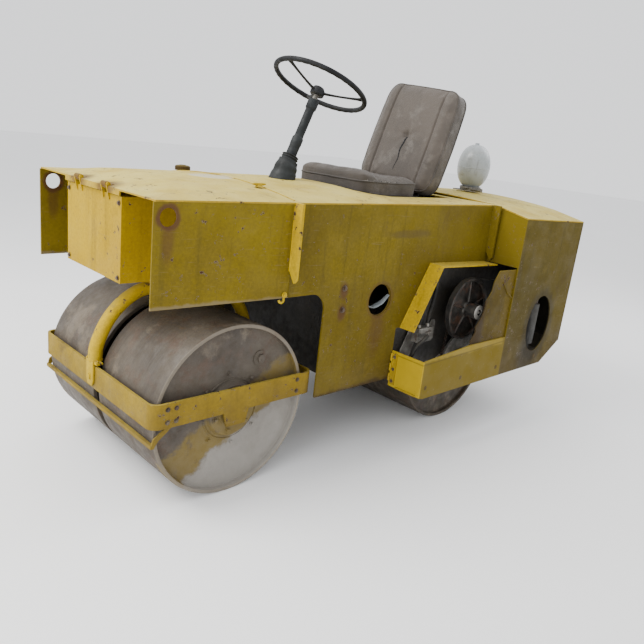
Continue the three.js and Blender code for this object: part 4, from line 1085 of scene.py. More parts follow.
def air_cleaner():
    """The bowl: an egg-shaped jar with a seam band, a rolled foot and a small knob on top, then the
    neck, strap and bracket under it, all turned about the upright."""
    angle = np.linspace(-1.15, np.pi / 2 - 0.10, 30)
    radius = 0.0975 * np.cos(angle) ** 0.85
    height = 1.325 + 0.1300 * np.sin(angle)
    jar = np.stack([radius, height], -1)
    foot = [(0.050, 1.2090), (0.058, 1.2090)]
    top = [(0.013, 1.4560), (0.0125, 1.4635), (0.009, 1.4646), (0.002, 1.4648)]
    centre = np.array([-1.130, 0.0, 0.0])
    up = UP
    parts = [turned(np.concatenate([foot, jar, top]), centre, up, 64)]
    for z, ring in ((1.3180, 0.0976), (1.2420, 0.0768)):
        band = circle(centre + up * z, up, ring - 0.0012, 72)
        parts.append(swept(band, 0.0024, 8, hint=up, closed=True))
    piece("bowl_jar", parts, bowl_plastic, "chassis", ["air_cleaner_bowl"], 40)
    clamp = [
        (0.059, 1.1925), (0.0625, 1.1925), (0.0635, 1.1950), (0.0635, 1.2035), (0.0625, 1.2060),
        (0.059, 1.2060),
    ]
    neck = [
        turned(clamp, centre, up, 64, closed=True),
        bolts([(-1.064, 0.018, 1.1995)], LEFT, 0.010, 0.012),
        block((-1.073, -0.012, 1.193), (-1.060, 0.018, 1.206), 0.0015),
    ]
    piece("bowl_clamp", neck, bright_steel, "chassis")


air_cleaner()

# ---- Yoke arms ----


def yoke_arm(front):
    """A yoke arm: a round tube bent from the frame's foot up over the drum to the kingpin, with its
    foot plate, pivot lug, saddle, weld beads and nuts."""
    sign = 1.0 if front else -1.0
    span = 0.368 if front else 0.393
    line = [
        (span - 0.014, 0.468), (span - 0.020, 0.530), (span - 0.060, 0.620), (span - 0.120, 0.690),
        (span - 0.190, 0.733), (span - 0.260, 0.748), (0.070, 0.750),
    ]
    corners = [(0.901 + sign * dx, 0.0, z) for dx, z in line]
    parts = [swept(spline(corners, 60), 0.0276, 28)]

    def along(a, b):
        """Two distances from the axle as low and high places along the machine."""
        return sorted((0.901 + sign * a, 0.901 + sign * b))

    x0, x1 = along(span - 0.025, span + 0.003)
    parts.append(block((x0, -0.047, 0.4595), (x1, 0.047, 0.4705), 0.002))
    x0, x1 = along(span + 0.001, span + 0.0095)
    lug = [
        (-0.029, 0.470), (-0.029, 0.392), (-0.018, 0.369), (0.018, 0.369), (0.029, 0.392),
        (0.029, 0.470),
    ]
    parts.append(slab(lug, x0, x1, "x", 0.0015))
    out = np.array([sign, 0.0, 0.0])
    tip = np.array([0.901 + sign * (span + 0.0095), 0.0, 0.405])
    parts.append(bolts([tip], out, 0.017, 0.0055, washer=True))
    foot_bolts = [(0.901 + sign * (span - 0.004), y, 0.4703) for y in (-0.038, 0.038)]
    parts.append(bolts(foot_bolts, UP, 0.010, 0.007))
    x0, x1 = along(0.009, 0.111)
    parts.append(block((x0, -0.0355, 0.7425), (x1, 0.0355, 0.7792), 0.003))
    rim = circle((0.901 + sign * (span - 0.0145), 0.0, 0.4715), UP, 0.0262, 90)
    ripple = 0.0032 + 0.0008 * np.sin(np.arange(90) * 1.9)
    parts.append(swept(rim, ripple, 6, hint=UP, closed=True))
    name = "front_arm" if front else "rear_arm"
    # The arms take the guard's bright yellow: painted light that lifts them out of their shade.
    piece(name + "_tube", parts, guard_paint, "yoke", [name], 38)


yoke_arm(True)
yoke_arm(False)

# ---- Bolts, welds, hinges and other small fittings ----


def front_fittings():
    """Rib welds and a small hook on the nose, then the bolts of the middle plates, the tank and the
    drum frame."""
    parts = []
    for side in (1.0, -1.0):
        for x in (0.7050, 0.7190):
            path = [(x, side * 0.4945, 0.905), (x, side * 0.4945, 1.150)]
            parts.append(weld(path, 0.0030, hint=AHEAD))
    hook = spline(
        [
            (0.732, 0.489, 0.802), (0.732, 0.491, 0.792), (0.736, 0.493, 0.785),
            (0.746, 0.494, 0.782), (0.754, 0.493, 0.786), (0.756, 0.492, 0.793),
        ],
        30,
    )
    parts.append(swept(hook, 0.0045, 12, hint=LEFT))
    parts.append(bolts([(0.732, 0.4935, 0.812)], LEFT, 0.013, 0.009))
    piece("nose_fittings", parts, guard_paint, "chassis", smooth=40)
    rusty = [
        bolts([(0.401, side * 0.4932, z) for z in (0.810, 0.716)], side * LEFT, 0.014, 0.010)
        for side in (1.0, -1.0)
    ]
    places = [(TANK_FRONT, y, z) for y in (-0.205, 0.205) for z in (0.850, 1.115)]
    rusty.append(bolts(places, AHEAD, 0.010, 0.007))
    piece("plate_bolts", rusty, bolt_steel, "chassis", smooth=30)
    places = [(x, z) for x in (1.205, 1.170, 0.598) for z in (0.380, 0.430)]
    corners = [
        bolts([(x, side * FRAME_SIDE, z) for x, z in places], side * LEFT, 0.010, 0.007)
        for side in (1.0, -1.0)
    ]
    piece("frame_bolts", corners, bolt_steel, "drum_frame", smooth=30)


front_fittings()

# ---- Seat ----


def bulged_box(half, outline_power, side_power, rings=64, sides=128):
    """A rounded box as a bent sphere. Its points are the half sizes times cosine and sine of two
    angles, each raised to a small power with its sign kept, which squares the sphere up."""
    up = np.linspace(-np.pi / 2, np.pi / 2, rings)[:, None]
    turn = np.linspace(-np.pi, np.pi, sides, endpoint=False)[None]

    def bent(value, power):
        return np.sign(value) * np.abs(value) ** power

    x = half[0] * bent(np.cos(up), side_power) * bent(np.cos(turn), outline_power)
    y = half[1] * bent(np.cos(up), side_power) * bent(np.sin(turn), outline_power)
    z = half[2] * bent(np.sin(up), side_power) * np.ones_like(turn)
    return np.stack([x, y, z], -1)


def stuffed(name, surface, cap):
    """A pad blown up as cloth: the form is remeshed, inflated for twenty frames without weight, and
    no point is let move further than the cap. Then it is subdivided once."""
    scene = bpy.context.scene
    mesh = bpy.data.meshes.new(name)
    vertices, faces = skin(surface)
    mesh.from_pydata(vertices.tolist(), [], faces)
    pad = bpy.data.objects.new(name, mesh)
    scene.collection.objects.link(pad)

    def settle():
        """Replaces the mesh by what its modifiers make of it, and removes them."""
        seen = pad.evaluated_get(bpy.context.evaluated_depsgraph_get())
        made = bpy.data.meshes.new_from_object(seen)
        pad.modifiers.clear()
        pad.data = made

    remesh = pad.modifiers.new("remesh", "REMESH")
    remesh.mode = "VOXEL"
    remesh.voxel_size = 0.0062
    settle()
    start = np.empty(len(pad.data.vertices) * 3)
    pad.data.vertices.foreach_get("co", start)
    start = start.reshape(-1, 3)
    cloth = pad.modifiers.new("cloth", "CLOTH")
    cloth.settings.use_pressure = True
    cloth.settings.uniform_pressure_force = 4.0
    cloth.settings.effector_weights.gravity = 0.0
    cloth.settings.tension_stiffness = 12
    cloth.settings.compression_stiffness = 12
    cloth.settings.bending_stiffness = 0.6
    for step in range(1, 21):
        scene.frame_set(step)
    seen = pad.evaluated_get(bpy.context.evaluated_depsgraph_get())
    blown = np.empty(len(seen.data.vertices) * 3)
    seen.data.vertices.foreach_get("co", blown)
    move = blown.reshape(-1, 3) - start
    length = np.linalg.norm(move, axis=1, keepdims=True)
    move *= np.minimum(1, cap / np.maximum(length, 1e-9))
    pad.modifiers.clear()
    pad.data.vertices.foreach_set("co", (start + move).ravel())
    scene.frame_set(1)
    finer = pad.modifiers.new("finer", "SUBSURF")
    finer.levels = finer.render_levels = 1
    settle()
    return pad


def points_of(pad):
    """A pad's points and the directions its surface faces there."""
    count = len(pad.data.vertices)
    points, normals = np.empty(count * 3), np.empty(count * 3)
    pad.data.vertices.foreach_get("co", points)
    pad.data.vertex_normals.foreach_get("vector", normals)
    return points.reshape(-1, 3), normals.reshape(-1, 3)


def upholster(pad, points, look, body, node):
    pad.data.vertices.foreach_set("co", points.ravel())
    pad.data.update()
    pad.data.shade_smooth()
    pad.data.materials.clear()
    pad.data.materials.append(look)
    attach(pad, body)
    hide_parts(node)
    return pad


def groove(distance, width, depth):
    """A sewn channel: a bell-shaped dip across a line."""
    return -depth * np.exp(-((distance / width) ** 2))


def on_pad(pad, path, out=0.0):
    """A path laid onto a pad: each point goes to the nearest place on its surface, plus a little
    along the way it faces."""
    tree = BVHTree.FromPolygons(
        [v.co[:] for v in pad.data.vertices], [p.vertices[:] for p in pad.data.polygons]
    )
    found = [tree.find_nearest(Vector(p)) for p in np.asarray(path, float)]
    return np.array([np.array(place) + out * np.array(normal) for place, normal, _, _ in found])


def rounded_loop(half_a, half_b, power, count=160):
    """A rounded rectangle's outline: cosine and sine, each raised to a small power."""
    a = np.linspace(0, FULL_TURN, count, endpoint=False)
    first = half_a * np.sign(np.cos(a)) * np.abs(np.cos(a)) ** power
    second = half_b * np.sign(np.sin(a)) * np.abs(np.sin(a)) ** power
    return first, second


CUSHION_MIDDLE = np.array([-0.125, 0.0, 1.1925])


def seat_cushion():
    """The cushion: a rounded box with a roll along its front, dished where one sits, with two sewn
    channels across it and rippled sides."""
    surface = bulged_box((0.220, 0.2350, 0.0525), 0.22, 0.34) + CUSHION_MIDDLE
    pad = stuffed("cushion_pad", surface, 0.009)
    p, n = points_of(pad)
    x, y = p[:, 0], p[:, 1]
    top = np.clip((p[:, 2] - 1.195) / 0.03, 0, 1)
    dish = -0.013 * np.exp(-(((x + 0.15) / 0.13) ** 2 + (y / 0.14) ** 2))
    roll = 0.030 * np.exp(-(((x - 0.070) / 0.095) ** 2))
    seams = groove(x + 0.005, 0.006, 0.007) + groove(x + 0.255, 0.006, 0.006)
    inner = np.clip((0.205 - np.abs(y)) / 0.02, 0, 1)
    seams = seams * inner + groove(np.abs(y) - 0.165, 0.005, 0.006) * (np.abs(x + 0.13) < 0.125)
    wrinkle = 0.0022 * np.sin(34 * y + 6 * np.sin(19 * x)) * np.exp(-(((x + 0.1) / 0.16) ** 2))
    p[:, 2] += top * (dish + roll + seams + wrinkle)
    side = (1 - top) * (np.abs(n[:, 2]) < 0.6)
    p += (side * 0.0025 * np.sin(46 * x + 31 * y))[:, None] * n
    p[:, 2] = np.clip(p[:, 2], 1.1369, 1.285)
    upholster(pad, p, cushion_vinyl, "seat", "seat_cushion")

    a, b = rounded_loop(0.218, 0.2335, 0.22)
    parts = []
    for z in (1.2285, 1.1520):
        loop = np.stack([a + CUSHION_MIDDLE[0], b, np.full_like(a, z)], -1)
        parts.append(swept(on_pad(pad, loop, 0.0012), 0.0036, 8, hint=UP, closed=True))
    piece("cushion_piping", parts, piping_vinyl, "seat", smooth=60)
    line = np.stack([np.linspace(-0.27, 0.075, 120), np.full(120, 0.230), np.full(120, 1.232)], -1)
    ragged = 0.0052 * (0.55 + 0.45 * np.sin(np.arange(120) * 0.9) * np.cos(np.arange(120) * 0.37))
    ragged[[0, -1]] = 0.001
    piece(
        "cushion_tear",
        [swept(on_pad(pad, line, -0.001), np.abs(ragged) + 0.0006, 8, hint=LEFT)],
        foam,
        "seat",
    )


def back_to_row(local):
    """Places given in the seat back's own frame (out of its front, left, up) in the machine's:
    leant back 15 degrees, then tilted 5, then twisted 4, about its foot."""
    lean = Matrix.Rotation(math.radians(-15.0), 3, "Y")
    tilt = Matrix.Rotation(math.radians(-5.0), 3, "X")
    twist = Matrix.Rotation(math.radians(4.0), 3, "Z")
    turn = twist @ tilt @ lean
    return np.asarray(local, float) @ np.array(turn).T + np.array([-0.370, 0.0, 1.206])


def seat_back():
    """The back: a rounded slab with a raised band down each edge, pulled in at a button hole that
    has torn, with creases running to it."""
    flat = bulged_box((0.274, 0.2440, 0.0630), 0.27, 0.32)
    surface = np.stack([flat[..., 2] - 0.061, flat[..., 1], flat[..., 0] + 0.264], -1)[:, ::-1]
    pad = stuffed("back_pad", surface, 0.007)
    p, _ = points_of(pad)
    x, y, z = p.T
    front = np.clip((x + 0.045) / 0.02, 0, 1)
    behind = np.clip((-0.088 - x) / 0.02, 0, 1)
    band = 0.007 * np.exp(-(((np.abs(y) - 0.185) / 0.026) ** 2))
    inner = np.clip((0.262 - np.abs(z - 0.267)) / 0.03, 0, 1)
    seams = groove(np.abs(y) - 0.152, 0.0055, 0.008) * inner
    reach = np.hypot(y, z - 0.262)
    button = -0.018 * np.exp(-((reach / 0.018) ** 2)) - 0.006 * np.exp(-((reach / 0.060) ** 2))
    angle = np.arctan2(z - 0.262, y)
    creases = 0.0010 * np.cos(7 * angle + 0.6) * np.exp(-((reach - 0.06) / 0.045) ** 2)
    crown = 0.004 * np.cos(np.clip(y / 0.15, -1, 1) * np.pi / 2)
    crown = crown - 0.005 * np.clip((z - 0.40) / 0.13, 0, 1)
    p[:, 0] += front * (band + seams + button + creases + crown)
    p[:, 0] -= behind * (0.002 * np.sin(21 * z + 9 * y) + groove(np.abs(y) - 0.16, 0.005, 0.004))
    taper = 1 - 0.05 * np.clip((z - 0.25) / 0.28, 0, 1)
    p[:, 1] *= taper
    upholster(pad, back_to_row(p), seat_vinyl, "seat", "seat_back")

    a, b = rounded_loop(0.272, 0.2430, 0.27)
    parts = []
    for depth in (-0.0170, -0.1000):
        loop = np.stack([np.full_like(a, depth), b, a + 0.267], -1)
        loop[:, 1] *= 1 - 0.05 * np.clip((loop[:, 2] - 0.25) / 0.28, 0, 1)
        path = on_pad(pad, back_to_row(loop), 0.0012)
        parts.append(swept(path, 0.0034, 8, hint=(1, 0, 0.2), closed=True))
    piece("back_piping", parts, piping_vinyl, "seat", smooth=60)

    down = np.linspace(0.258, 0.070, 90)
    line = np.stack([np.zeros(90), 0.004 * np.sin(down * 60), down], -1)
    width = 0.0046 * (0.5 + 0.5 * np.abs(np.sin(np.arange(90) * 0.43))) * np.linspace(1.3, 0.3, 90)
    tear = swept(on_pad(pad, back_to_row(line), -0.0006), width + 0.0005, 8, hint=LEFT)
    hole = back_to_row(np.array([[-0.005, 0.0, 0.262]]))
    centre = on_pad(pad, hole, 0.0)[0]
    out = unit(back_to_row(np.array([[1.0, 0, 0]])) - back_to_row(np.zeros((1, 3))))[0]
    crater = [
        (0.002, -0.006), (0.008, -0.0045), (0.0105, 0.001), (0.0135, 0.0030), (0.0150, 0.0010),
        (0.0150, -0.004),
    ]
    piece("back_tear", [tear], rim_rubber, "seat")
    piece("back_button", [turned(crater, centre, out, 28)], rim_rubber, "seat")


seat_cushion()
seat_back()

# ---- Belt and chain drive ----


def loop_path(a, radius_a, b, radius_b, step):
    """The line of a belt round two wheels: an arc on each, joined by the two outer tangents, as
    points at even steps."""
    pa, pb = np.array([a[0], a[2]]), np.array([b[0], b[2]])
    gap = pb - pa
    heading = math.atan2(gap[1], gap[0])
    spread = math.acos((radius_a - radius_b) / np.linalg.norm(gap))
    on_b = np.linspace(heading - spread, heading + spread, 80)
    on_a = np.linspace(heading + spread, heading - spread + 2 * np.pi, 160)
    line = np.concatenate([
        pb + radius_b * np.stack([np.cos(on_b), np.sin(on_b)], -1),
        pa + radius_a * np.stack([np.cos(on_a), np.sin(on_a)], -1),
    ])
    line = np.concatenate([line, line[:1]])
    length = np.concatenate([[0], np.cumsum(np.linalg.norm(np.diff(line, axis=0), axis=1))])
    count = int(round(length[-1] / step))
    at = np.linspace(0, length[-1], count, endpoint=False)
    return np.stack([np.interp(at, length, line[:, k]) for k in range(2)], -1)


def drive_belts():
    """Two V-belts side by side: a trapezium, wide outside, carried round the loop."""
    line = loop_path(DRIVE_SHAFT, 0.1572, ENGINE_SHAFT, 0.0572, 0.012)
    along = unit(np.roll(line, -1, 0) - np.roll(line, 1, 0))
    out = np.stack([along[:, 1], -along[:, 0]], -1)
    section = np.array([(-0.0036, -0.0028), (-0.0036, 0.0028), (0.0032, 0.0044), (0.0032, -0.0044)])
    parts = []
    for y in (0.5530, 0.5630):
        flat = line[:, None] + section[None, :, :1] * out[:, None]
        points = np.stack([flat[..., 0], y + section[:, 1] + 0 * flat[..., 0], flat[..., 1]], -1)
        parts.append(ring_skin(points))
    piece("drive_belt_pair", parts, belt_rubber, "chassis", ["drive_belt"], 30)


drive_belts()


def drive_chain():
    """A roller chain: every link is a roller between two waisted side plates, set at even steps
    round the loop and turned to follow it."""
    pitch = 0.01905
    line = loop_path(REAR_AXLE, 0.1604, DRIVE_SHAFT, 0.0404, pitch)
    along = unit(np.roll(line, -1, 0) - line)
    waist = [
        (-0.004, -0.004), (0.000, -0.0052), (0.0095, -0.0036), (0.019, -0.0052), (0.023, -0.004),
        (0.023, 0.004), (0.019, 0.0052), (0.0095, 0.0036), (0.000, 0.0052), (-0.004, 0.004),
    ]
    shapes = [
        slab(waist, 0.5004, 0.5018, "y", 0.0002),
        slab(waist, 0.5102, 0.5116, "y", 0.0002),
        turned([(0.0040, 0.5020), (0.0040, 0.5100)], (0, 0, 0), LEFT, 8),
    ]
    parts = []
    for vertices, faces in shapes:
        x, y, z = vertices.T
        out = np.stack([-along[:, 1], along[:, 0]], -1)
        px = line[:, :1] + along[:, :1] * x + out[:, :1] * z
        pz = line[:, 1:] + along[:, 1:] * x + out[:, 1:] * z
        points = np.stack([px, np.broadcast_to(y, px.shape), pz], -1)
        count = len(vertices)
        every = [[v + k * count for v in f] for k in range(len(line)) for f in faces]
        parts.append((points.reshape(-1, 3), every))
    piece("roller_chain", parts, chain_steel, "chassis", ["drive_chain"], 40)


drive_chain()


def grooved_pulley(name, shaft, edge, hub, hub_low, hub_high, body, node, more):
    """A pulley with two V-grooves, a set-back web with ribs, and a stepped hub."""
    axis = LEFT
    root = edge - 0.0092
    centre = np.array([shaft[0], 0.0, shaft[2]])
    rim = [
        (edge - 0.022, 0.5460), (edge - 0.002, 0.5435), (edge, 0.5445), (edge, 0.5478),
        (root, 0.5510), (root, 0.5545), (edge - 0.001, 0.5575), (edge - 0.001, 0.5585),
        (root, 0.5615), (root, 0.5650), (edge, 0.5682), (edge, 0.5715), (edge - 0.002, 0.5725),
        (edge - 0.014, 0.5725), (edge - 0.018, 0.5610), (hub + 0.010, 0.5610),
        (hub + 0.004, 0.5640), (hub, 0.5700), (hub, hub_high - 0.004),
        (hub - 0.003, hub_high - 0.001), (0.0150, hub_high - 0.001), (0.0150, hub_high - 0.010),
        (0.004, hub_high - 0.010),
    ]
    back = [(0.004, hub_low), (hub, hub_low), (hub, 0.5470), (edge - 0.022, 0.5500)]
    parts = [turned(back + rim, centre, axis, 72)]
    first, second = across(axis)
    inner, outer = hub + 0.003, edge - 0.017
    if edge > 0.1:
        for k in range(5):
            a = k * 2 * np.pi / 5 + 0.35
            out = np.cos(a) * first + np.sin(a) * second
            path = centre + axis * 0.5615 + np.linspace(inner, outer, 10)[:, None] * out
            thick = np.linspace(0.010, 0.007, 10)
            parts.append(swept(path, thick, 12, 0.55, hint=np.cross(axis, out)))
    piece(name, parts + more, pulley_iron, body, [node], 32)
    sleeve = [
        (hub * 0.46, hub_high - 0.0060), (hub - 0.0005, hub_high - 0.0060),
        (hub + 0.0006, hub_high - 0.0050), (hub + 0.0006, hub_high - 0.0010),
        (hub - 0.0015, hub_high), (hub * 0.46, hub_high),
    ]
    nut = bolts([centre + axis * (hub_high - 0.0100)], axis, 0.012, 0.008)
    face = turned(sleeve, centre, axis, 48, closed=True)
    piece(name + "_hub", [face, nut], hub_steel, body, smooth=32)


def toothed_disc(centre, radius, teeth, low, high, bore):
    """A sprocket: its radius rises and falls with the cosine of the angle times the tooth count,
    sharpened by a power, and a raised boss stands on it."""
    a = np.linspace(0, FULL_TURN, teeth * 8, endpoint=False)
    wave = (0.5 + 0.5 * np.cos(teeth * a)) ** 1.4
    r = radius - 0.0048 + 0.0088 * wave
    outline = np.stack([centre[0] + r * np.cos(a), centre[2] + r * np.sin(a)], -1)
    boss = [
        (bore, high - 0.001), (bore + 0.020, high - 0.001), (bore + 0.018, high + 0.004),
        (bore, high + 0.004),
    ]
    axis = LEFT
    place = np.array([centre[0], 0.0, centre[2]])
    return [slab(outline, low, high, "y", 0.0006), turned(boss, place, axis, 32, closed=True)]


small_sprocket = toothed_disc(DRIVE_SHAFT, 0.0330, 13, 0.5030, 0.5090, 0.0245)
stub_profile = [(0.004, 0.4690), (0.0246, 0.4690), (0.0246, 0.5225), (0.004, 0.5225)]
stub = turned(stub_profile, (DRIVE_SHAFT[0], 0, DRIVE_SHAFT[2]), LEFT, 32)
grooved_pulley(
    "shaft_pulley", DRIVE_SHAFT, 0.1595, 0.0355, 0.5205, 0.6355, "drive_shaft", "drive_pulley",
    small_sprocket + [stub],
)
grooved_pulley(
    "crank_pulley", ENGINE_SHAFT, 0.0595, 0.0258, 0.4705, 0.5895, "crank", "engine_pulley", []
)

# ---- Inside the drive recess and the rear housing ----


def guard_fittings():
    """On the drive guard: a hinge strip down its front face, stiffening welds inside the slanted
    flange, and a bent rib on the torn cover."""
    strip = block((0.0222, 0.4975, 0.312), (0.0272, 0.5300, 0.468), 0.001)
    knuckles = [
        turned([(0.0055, z), (0.0055, z + 0.036)], (0.0295, 0.4990, 0), UP, 20)
        for z in (0.330, 0.380, 0.430)
    ]
    lip = slab(
        [(0.0215, 0.3005), (0.0265, 0.3005), (0.0265, 0.3085), (0.0215, 0.3085)],
        0.54, 0.66, "y", 0.001,
    )
    flange = [
        weld([(-0.010, 0.4955, 0.592), (-0.163, 0.4955, 0.876)], 0.0035, hint=LEFT),
        weld([(-0.180, 0.4955, 0.8795), (-0.618, 0.4955, 0.8655)], 0.0035, hint=LEFT),
    ]
    piece("guard_hinge", [strip, lip] + knuckles + flange, guard_paint, "chassis")
    heads = bolts([(0.0272, 0.5150, z) for z in (0.330, 0.390, 0.450)], AHEAD, 0.009, 0.006)
    piece("guard_bolts", [heads], bolt_steel, "chassis", smooth=30)

    t = np.linspace(0, 1, 30)[:, None]
    down = np.array([-0.543, 0.0, 0.812]) * (1 - t) + np.array([-0.612, 0.0, 0.742]) * t
    up = np.array([-0.612, 0.0, 0.742]) * (1 - t) + np.array([-0.688, 0.0, 0.700]) * t
    ridge = np.concatenate([down, up[1:]]) + np.array([0.0, 0.6722, 0.0])
    high = 0.0054 * np.sin(np.linspace(0, np.pi, len(ridge))) ** 0.5 + 0.0004
    rows = [swept(ridge, high, 10, 1.5, hint=LEFT)]
    piece("cover_rib", rows, cover_paint, "chassis", smooth=60)


guard_fittings()


def recess_works():
    """Things behind the guard: a valve block with its hoses, a bracket and two loose strips of
    sheet, all clear of the belts."""
    valve = [
        block((-0.205, 0.4975, 0.508), (-0.095, 0.5420, 0.578), 0.003),
        block((-0.190, 0.5420, 0.524), (-0.150, 0.5560, 0.562), 0.002),
    ]
    union = [(0.011, 0.577), (0.011, 0.590), (0.009, 0.596)]
    for x in (-0.182, -0.118):
        valve.append(turned(union, (x, 0.520, 0), UP, 6))
    valve.append(bolts([(-0.112, 0.542, 0.530), (-0.112, 0.542, 0.558)], LEFT, 0.008, 0.006))
    piece("valve_block", valve, bright_steel, "chassis", smooth=30)
    runs = [
        [(-0.182, 0.520, 0.594), (-0.182, 0.522, 0.640), (-0.200, 0.520, 0.700),
         (-0.218, 0.514, 0.770), (-0.215, 0.508, 0.850)],
        [(-0.118, 0.520, 0.594), (-0.116, 0.526, 0.630), (-0.132, 0.524, 0.690),
         (-0.168, 0.516, 0.770), (-0.185, 0.508, 0.850)],
        [(-0.150, 0.555, 0.543), (-0.110, 0.572, 0.540), (-0.060, 0.570, 0.505),
         (-0.040, 0.555, 0.440), (-0.045, 0.530, 0.340)],
    ]
    hoses = [swept(spline(run, 60), 0.0085, 14) for run in runs]
    piece("recess_hoses", hoses, belt_rubber, "chassis", smooth=50)
    bracket = [
        (-0.270, 0.500), (-0.215, 0.500), (-0.215, 0.560), (-0.238, 0.600), (-0.262, 0.600),
        (-0.270, 0.585),
    ]
    loose = [
        (-0.255, 0.330), (-0.070, 0.330), (-0.060, 0.395), (-0.105, 0.440), (-0.150, 0.425),
        (-0.205, 0.460), (-0.250, 0.415),
    ]
    leaf = [
        (-0.060, 0.332), (-0.020, 0.332), (-0.020, 0.470), (-0.090, 0.610), (-0.150, 0.560),
        (-0.110, 0.470),
    ]
    scraps = [
        slab(bracket, 0.4975, 0.5035, "y", 0.001),
        slab(loose, 0.600, 0.603, "y", 0.0008),
        slab(leaf, 0.5000, 0.5040, "y", 0.0008),
        bolts([(-0.245, 0.5035, 0.520), (-0.245, 0.5035, 0.580)], LEFT, 0.009, 0.007),
    ]
    piece("recess_brackets", scraps, bright_steel, "chassis", smooth=30)


recess_works()


def port_fittings():
    """A pale strap across the lower inside of the round port, widest in its middle by a sine, its
    pale colour a painted highlight for the lit inner rim of the port; and the folded edge round the
    port."""
    bend = spline(
        [(0.243, 0.4780, 0.722), (0.190, 0.4700, 0.700), (0.130, 0.4700, 0.716),
         (0.092, 0.4780, 0.752)],
        40,
    )
    wide = 0.0100 + 0.0075 * np.sin(np.linspace(0, np.pi, 40))
    # Painted highlight: a pale strap where the port's lit inner rim shows.
    lit_rim_band = swept(bend, wide, 12, 0.14, hint=(0.2, 0, 1))
    ring = circle((ROUND_PORT[0], 0.4835, ROUND_PORT[1]), LEFT, 0.0735, 96)
    lip = swept(ring, 0.0028, 8, hint=LEFT, closed=True)
    piece("port_lit_rim", [lit_rim_band], bowl_plastic, "chassis", smooth=50)
    piece("port_lip", [lip], middle_paint, "chassis", smooth=50)


port_fittings()


def engine_works():
    """On the engine: an oil filter, a starter, a valve cover with bolts and an exhaust pipe to the
    silencer; then a dark sheet behind the oval port and a sloping dark pan under the rear end,
    painted shade that keeps the port black inside."""
    filter_can = [
        (0.004, 0.0), (0.038, 0.0), (0.040, 0.004), (0.040, 0.120), (0.036, 0.130), (0.004, 0.131),
    ]
    starter = [
        (0.004, 0.0), (0.048, 0.0), (0.050, 0.004), (0.050, 0.170), (0.030, 0.180), (0.030, 0.200),
        (0.004, 0.200),
    ]
    parts = [
        turned(filter_can, (-0.898, -0.060, 0.600), AHEAD, 40),
        turned(starter, (-0.860, 0.060, 0.700), LEFT, 40),
    ]
    cover = block((-1.105, -0.112, 1.0605), (-0.945, 0.152, 1.0780), 0.006)
    heads = [(x, y, 1.078) for x in (-1.085, -0.965) for y in (-0.090, 0.020, 0.130)]
    parts += [cover, bolts(heads, UP, 0.009, 0.007)]
    piece("engine_fittings", parts, engine_iron, "chassis", smooth=35)
    route = spline(
        [(-1.010, 0.184, 0.900), (-1.010, 0.300, 0.905), (-1.010, 0.420, 0.880),
         (-1.010, 0.560, 0.800), (-1.010, 0.622, 0.730), (-1.010, 0.626, 0.642)],
        60,
    )
    rim = [(0.004, 0.0), (0.034, 0.0), (0.034, 0.008), (0.004, 0.008)]
    flange = turned(rim, (-1.010, 0.1805, 0.900), LEFT, 32)
    pipe = swept(route, 0.0180, 20, hint=AHEAD)
    piece("exhaust_pipe", [pipe, flange], bolt_steel, "chassis")
    # Painted shade: a dark sheet behind the oval port and a dark pan under it keep the port black
    # inside.
    shade_wall = [(-1.270, 0.378), (-0.892, 0.378), (-0.892, 0.980), (-1.270, 0.980)]
    pan = [(-1.2735, 0.4040), (-1.1010, 0.3020), (-1.0980, 0.3060), (-1.2705, 0.4080)]
    shade_sheets = [slab(shade_wall, 0.4480, 0.4520, "y", 0.0008), slab(pan, -0.668, 0.668, "y", 0.0008)]
    piece("port_shade_sheets", shade_sheets, inside_shade_iron, "chassis", smooth=30)


engine_works()

# ---- Fittings on the decks ----


def deck_height(x, y):
    """Height of the crowned deck: its edge plus the crown along it times one less the square of the
    share across it."""
    front = np.clip((1.286 - x) / 0.2, 0, 1)
    back = np.clip((x + 0.1) / 0.35, 0, 1)
    crown = 0.040 * front**2 * (3 - 2 * front) * back**2 * (3 - 2 * back)
    half = 0.493 - 0.027 * np.clip((x - 0.712) / 0.574, 0, 1)
    return DECK + crown * (1 - (y / half) ** 2)


def deck_line(x0, y0, x1, y1, lift, count=60):
    """A straight line in plan, laid on the crowned deck."""
    t = np.linspace(0, 1, count)
    x, y = x0 + (x1 - x0) * t, y0 + (y1 - y0) * t
    return np.stack([x, y, deck_height(x, y) + lift], -1)


def bonnet_fittings():
    """On the bonnet: a folded rear edge."""
    fold = swept(deck_line(0.7045, -0.470, 0.7045, 0.470, 0.0005, 80), 0.0032, 8, hint=AHEAD)
    piece("bonnet_fold", [fold], bonnet_paint, "hood", smooth=60)


bonnet_fittings()


def latch():
    """The bonnet latch: a turned stud with a wing handle that is thick in the middle and thins
    towards rounded ends."""
    z = float(deck_height(*np.array(LATCH)))
    profile = [
        (0.002, z + 0.003), (0.0158, z + 0.003), (0.0158, z + 0.0060), (0.0115, z + 0.0085),
        (0.0105, z + 0.0125), (0.002, z + 0.0130),
    ]
    stud = turned(profile, (*LATCH, 0), UP, 32)
    x = np.linspace(-0.033, 0.033, 30)
    size = 0.0056 * np.sqrt(np.clip(1 - (x / 0.0336) ** 2, 0, 1)) + 0.0004
    lift = z + 0.0135 + 0.0012 * (x / 0.033) ** 2
    wing = np.stack([LATCH[0] + x, np.full(30, LATCH[1]), lift], -1)
    parts = [stud, swept(wing, size, 16, hint=LEFT)]
    piece("latch_wing", parts, guard_paint, "latch", ["hood_latch"], 40)


latch()


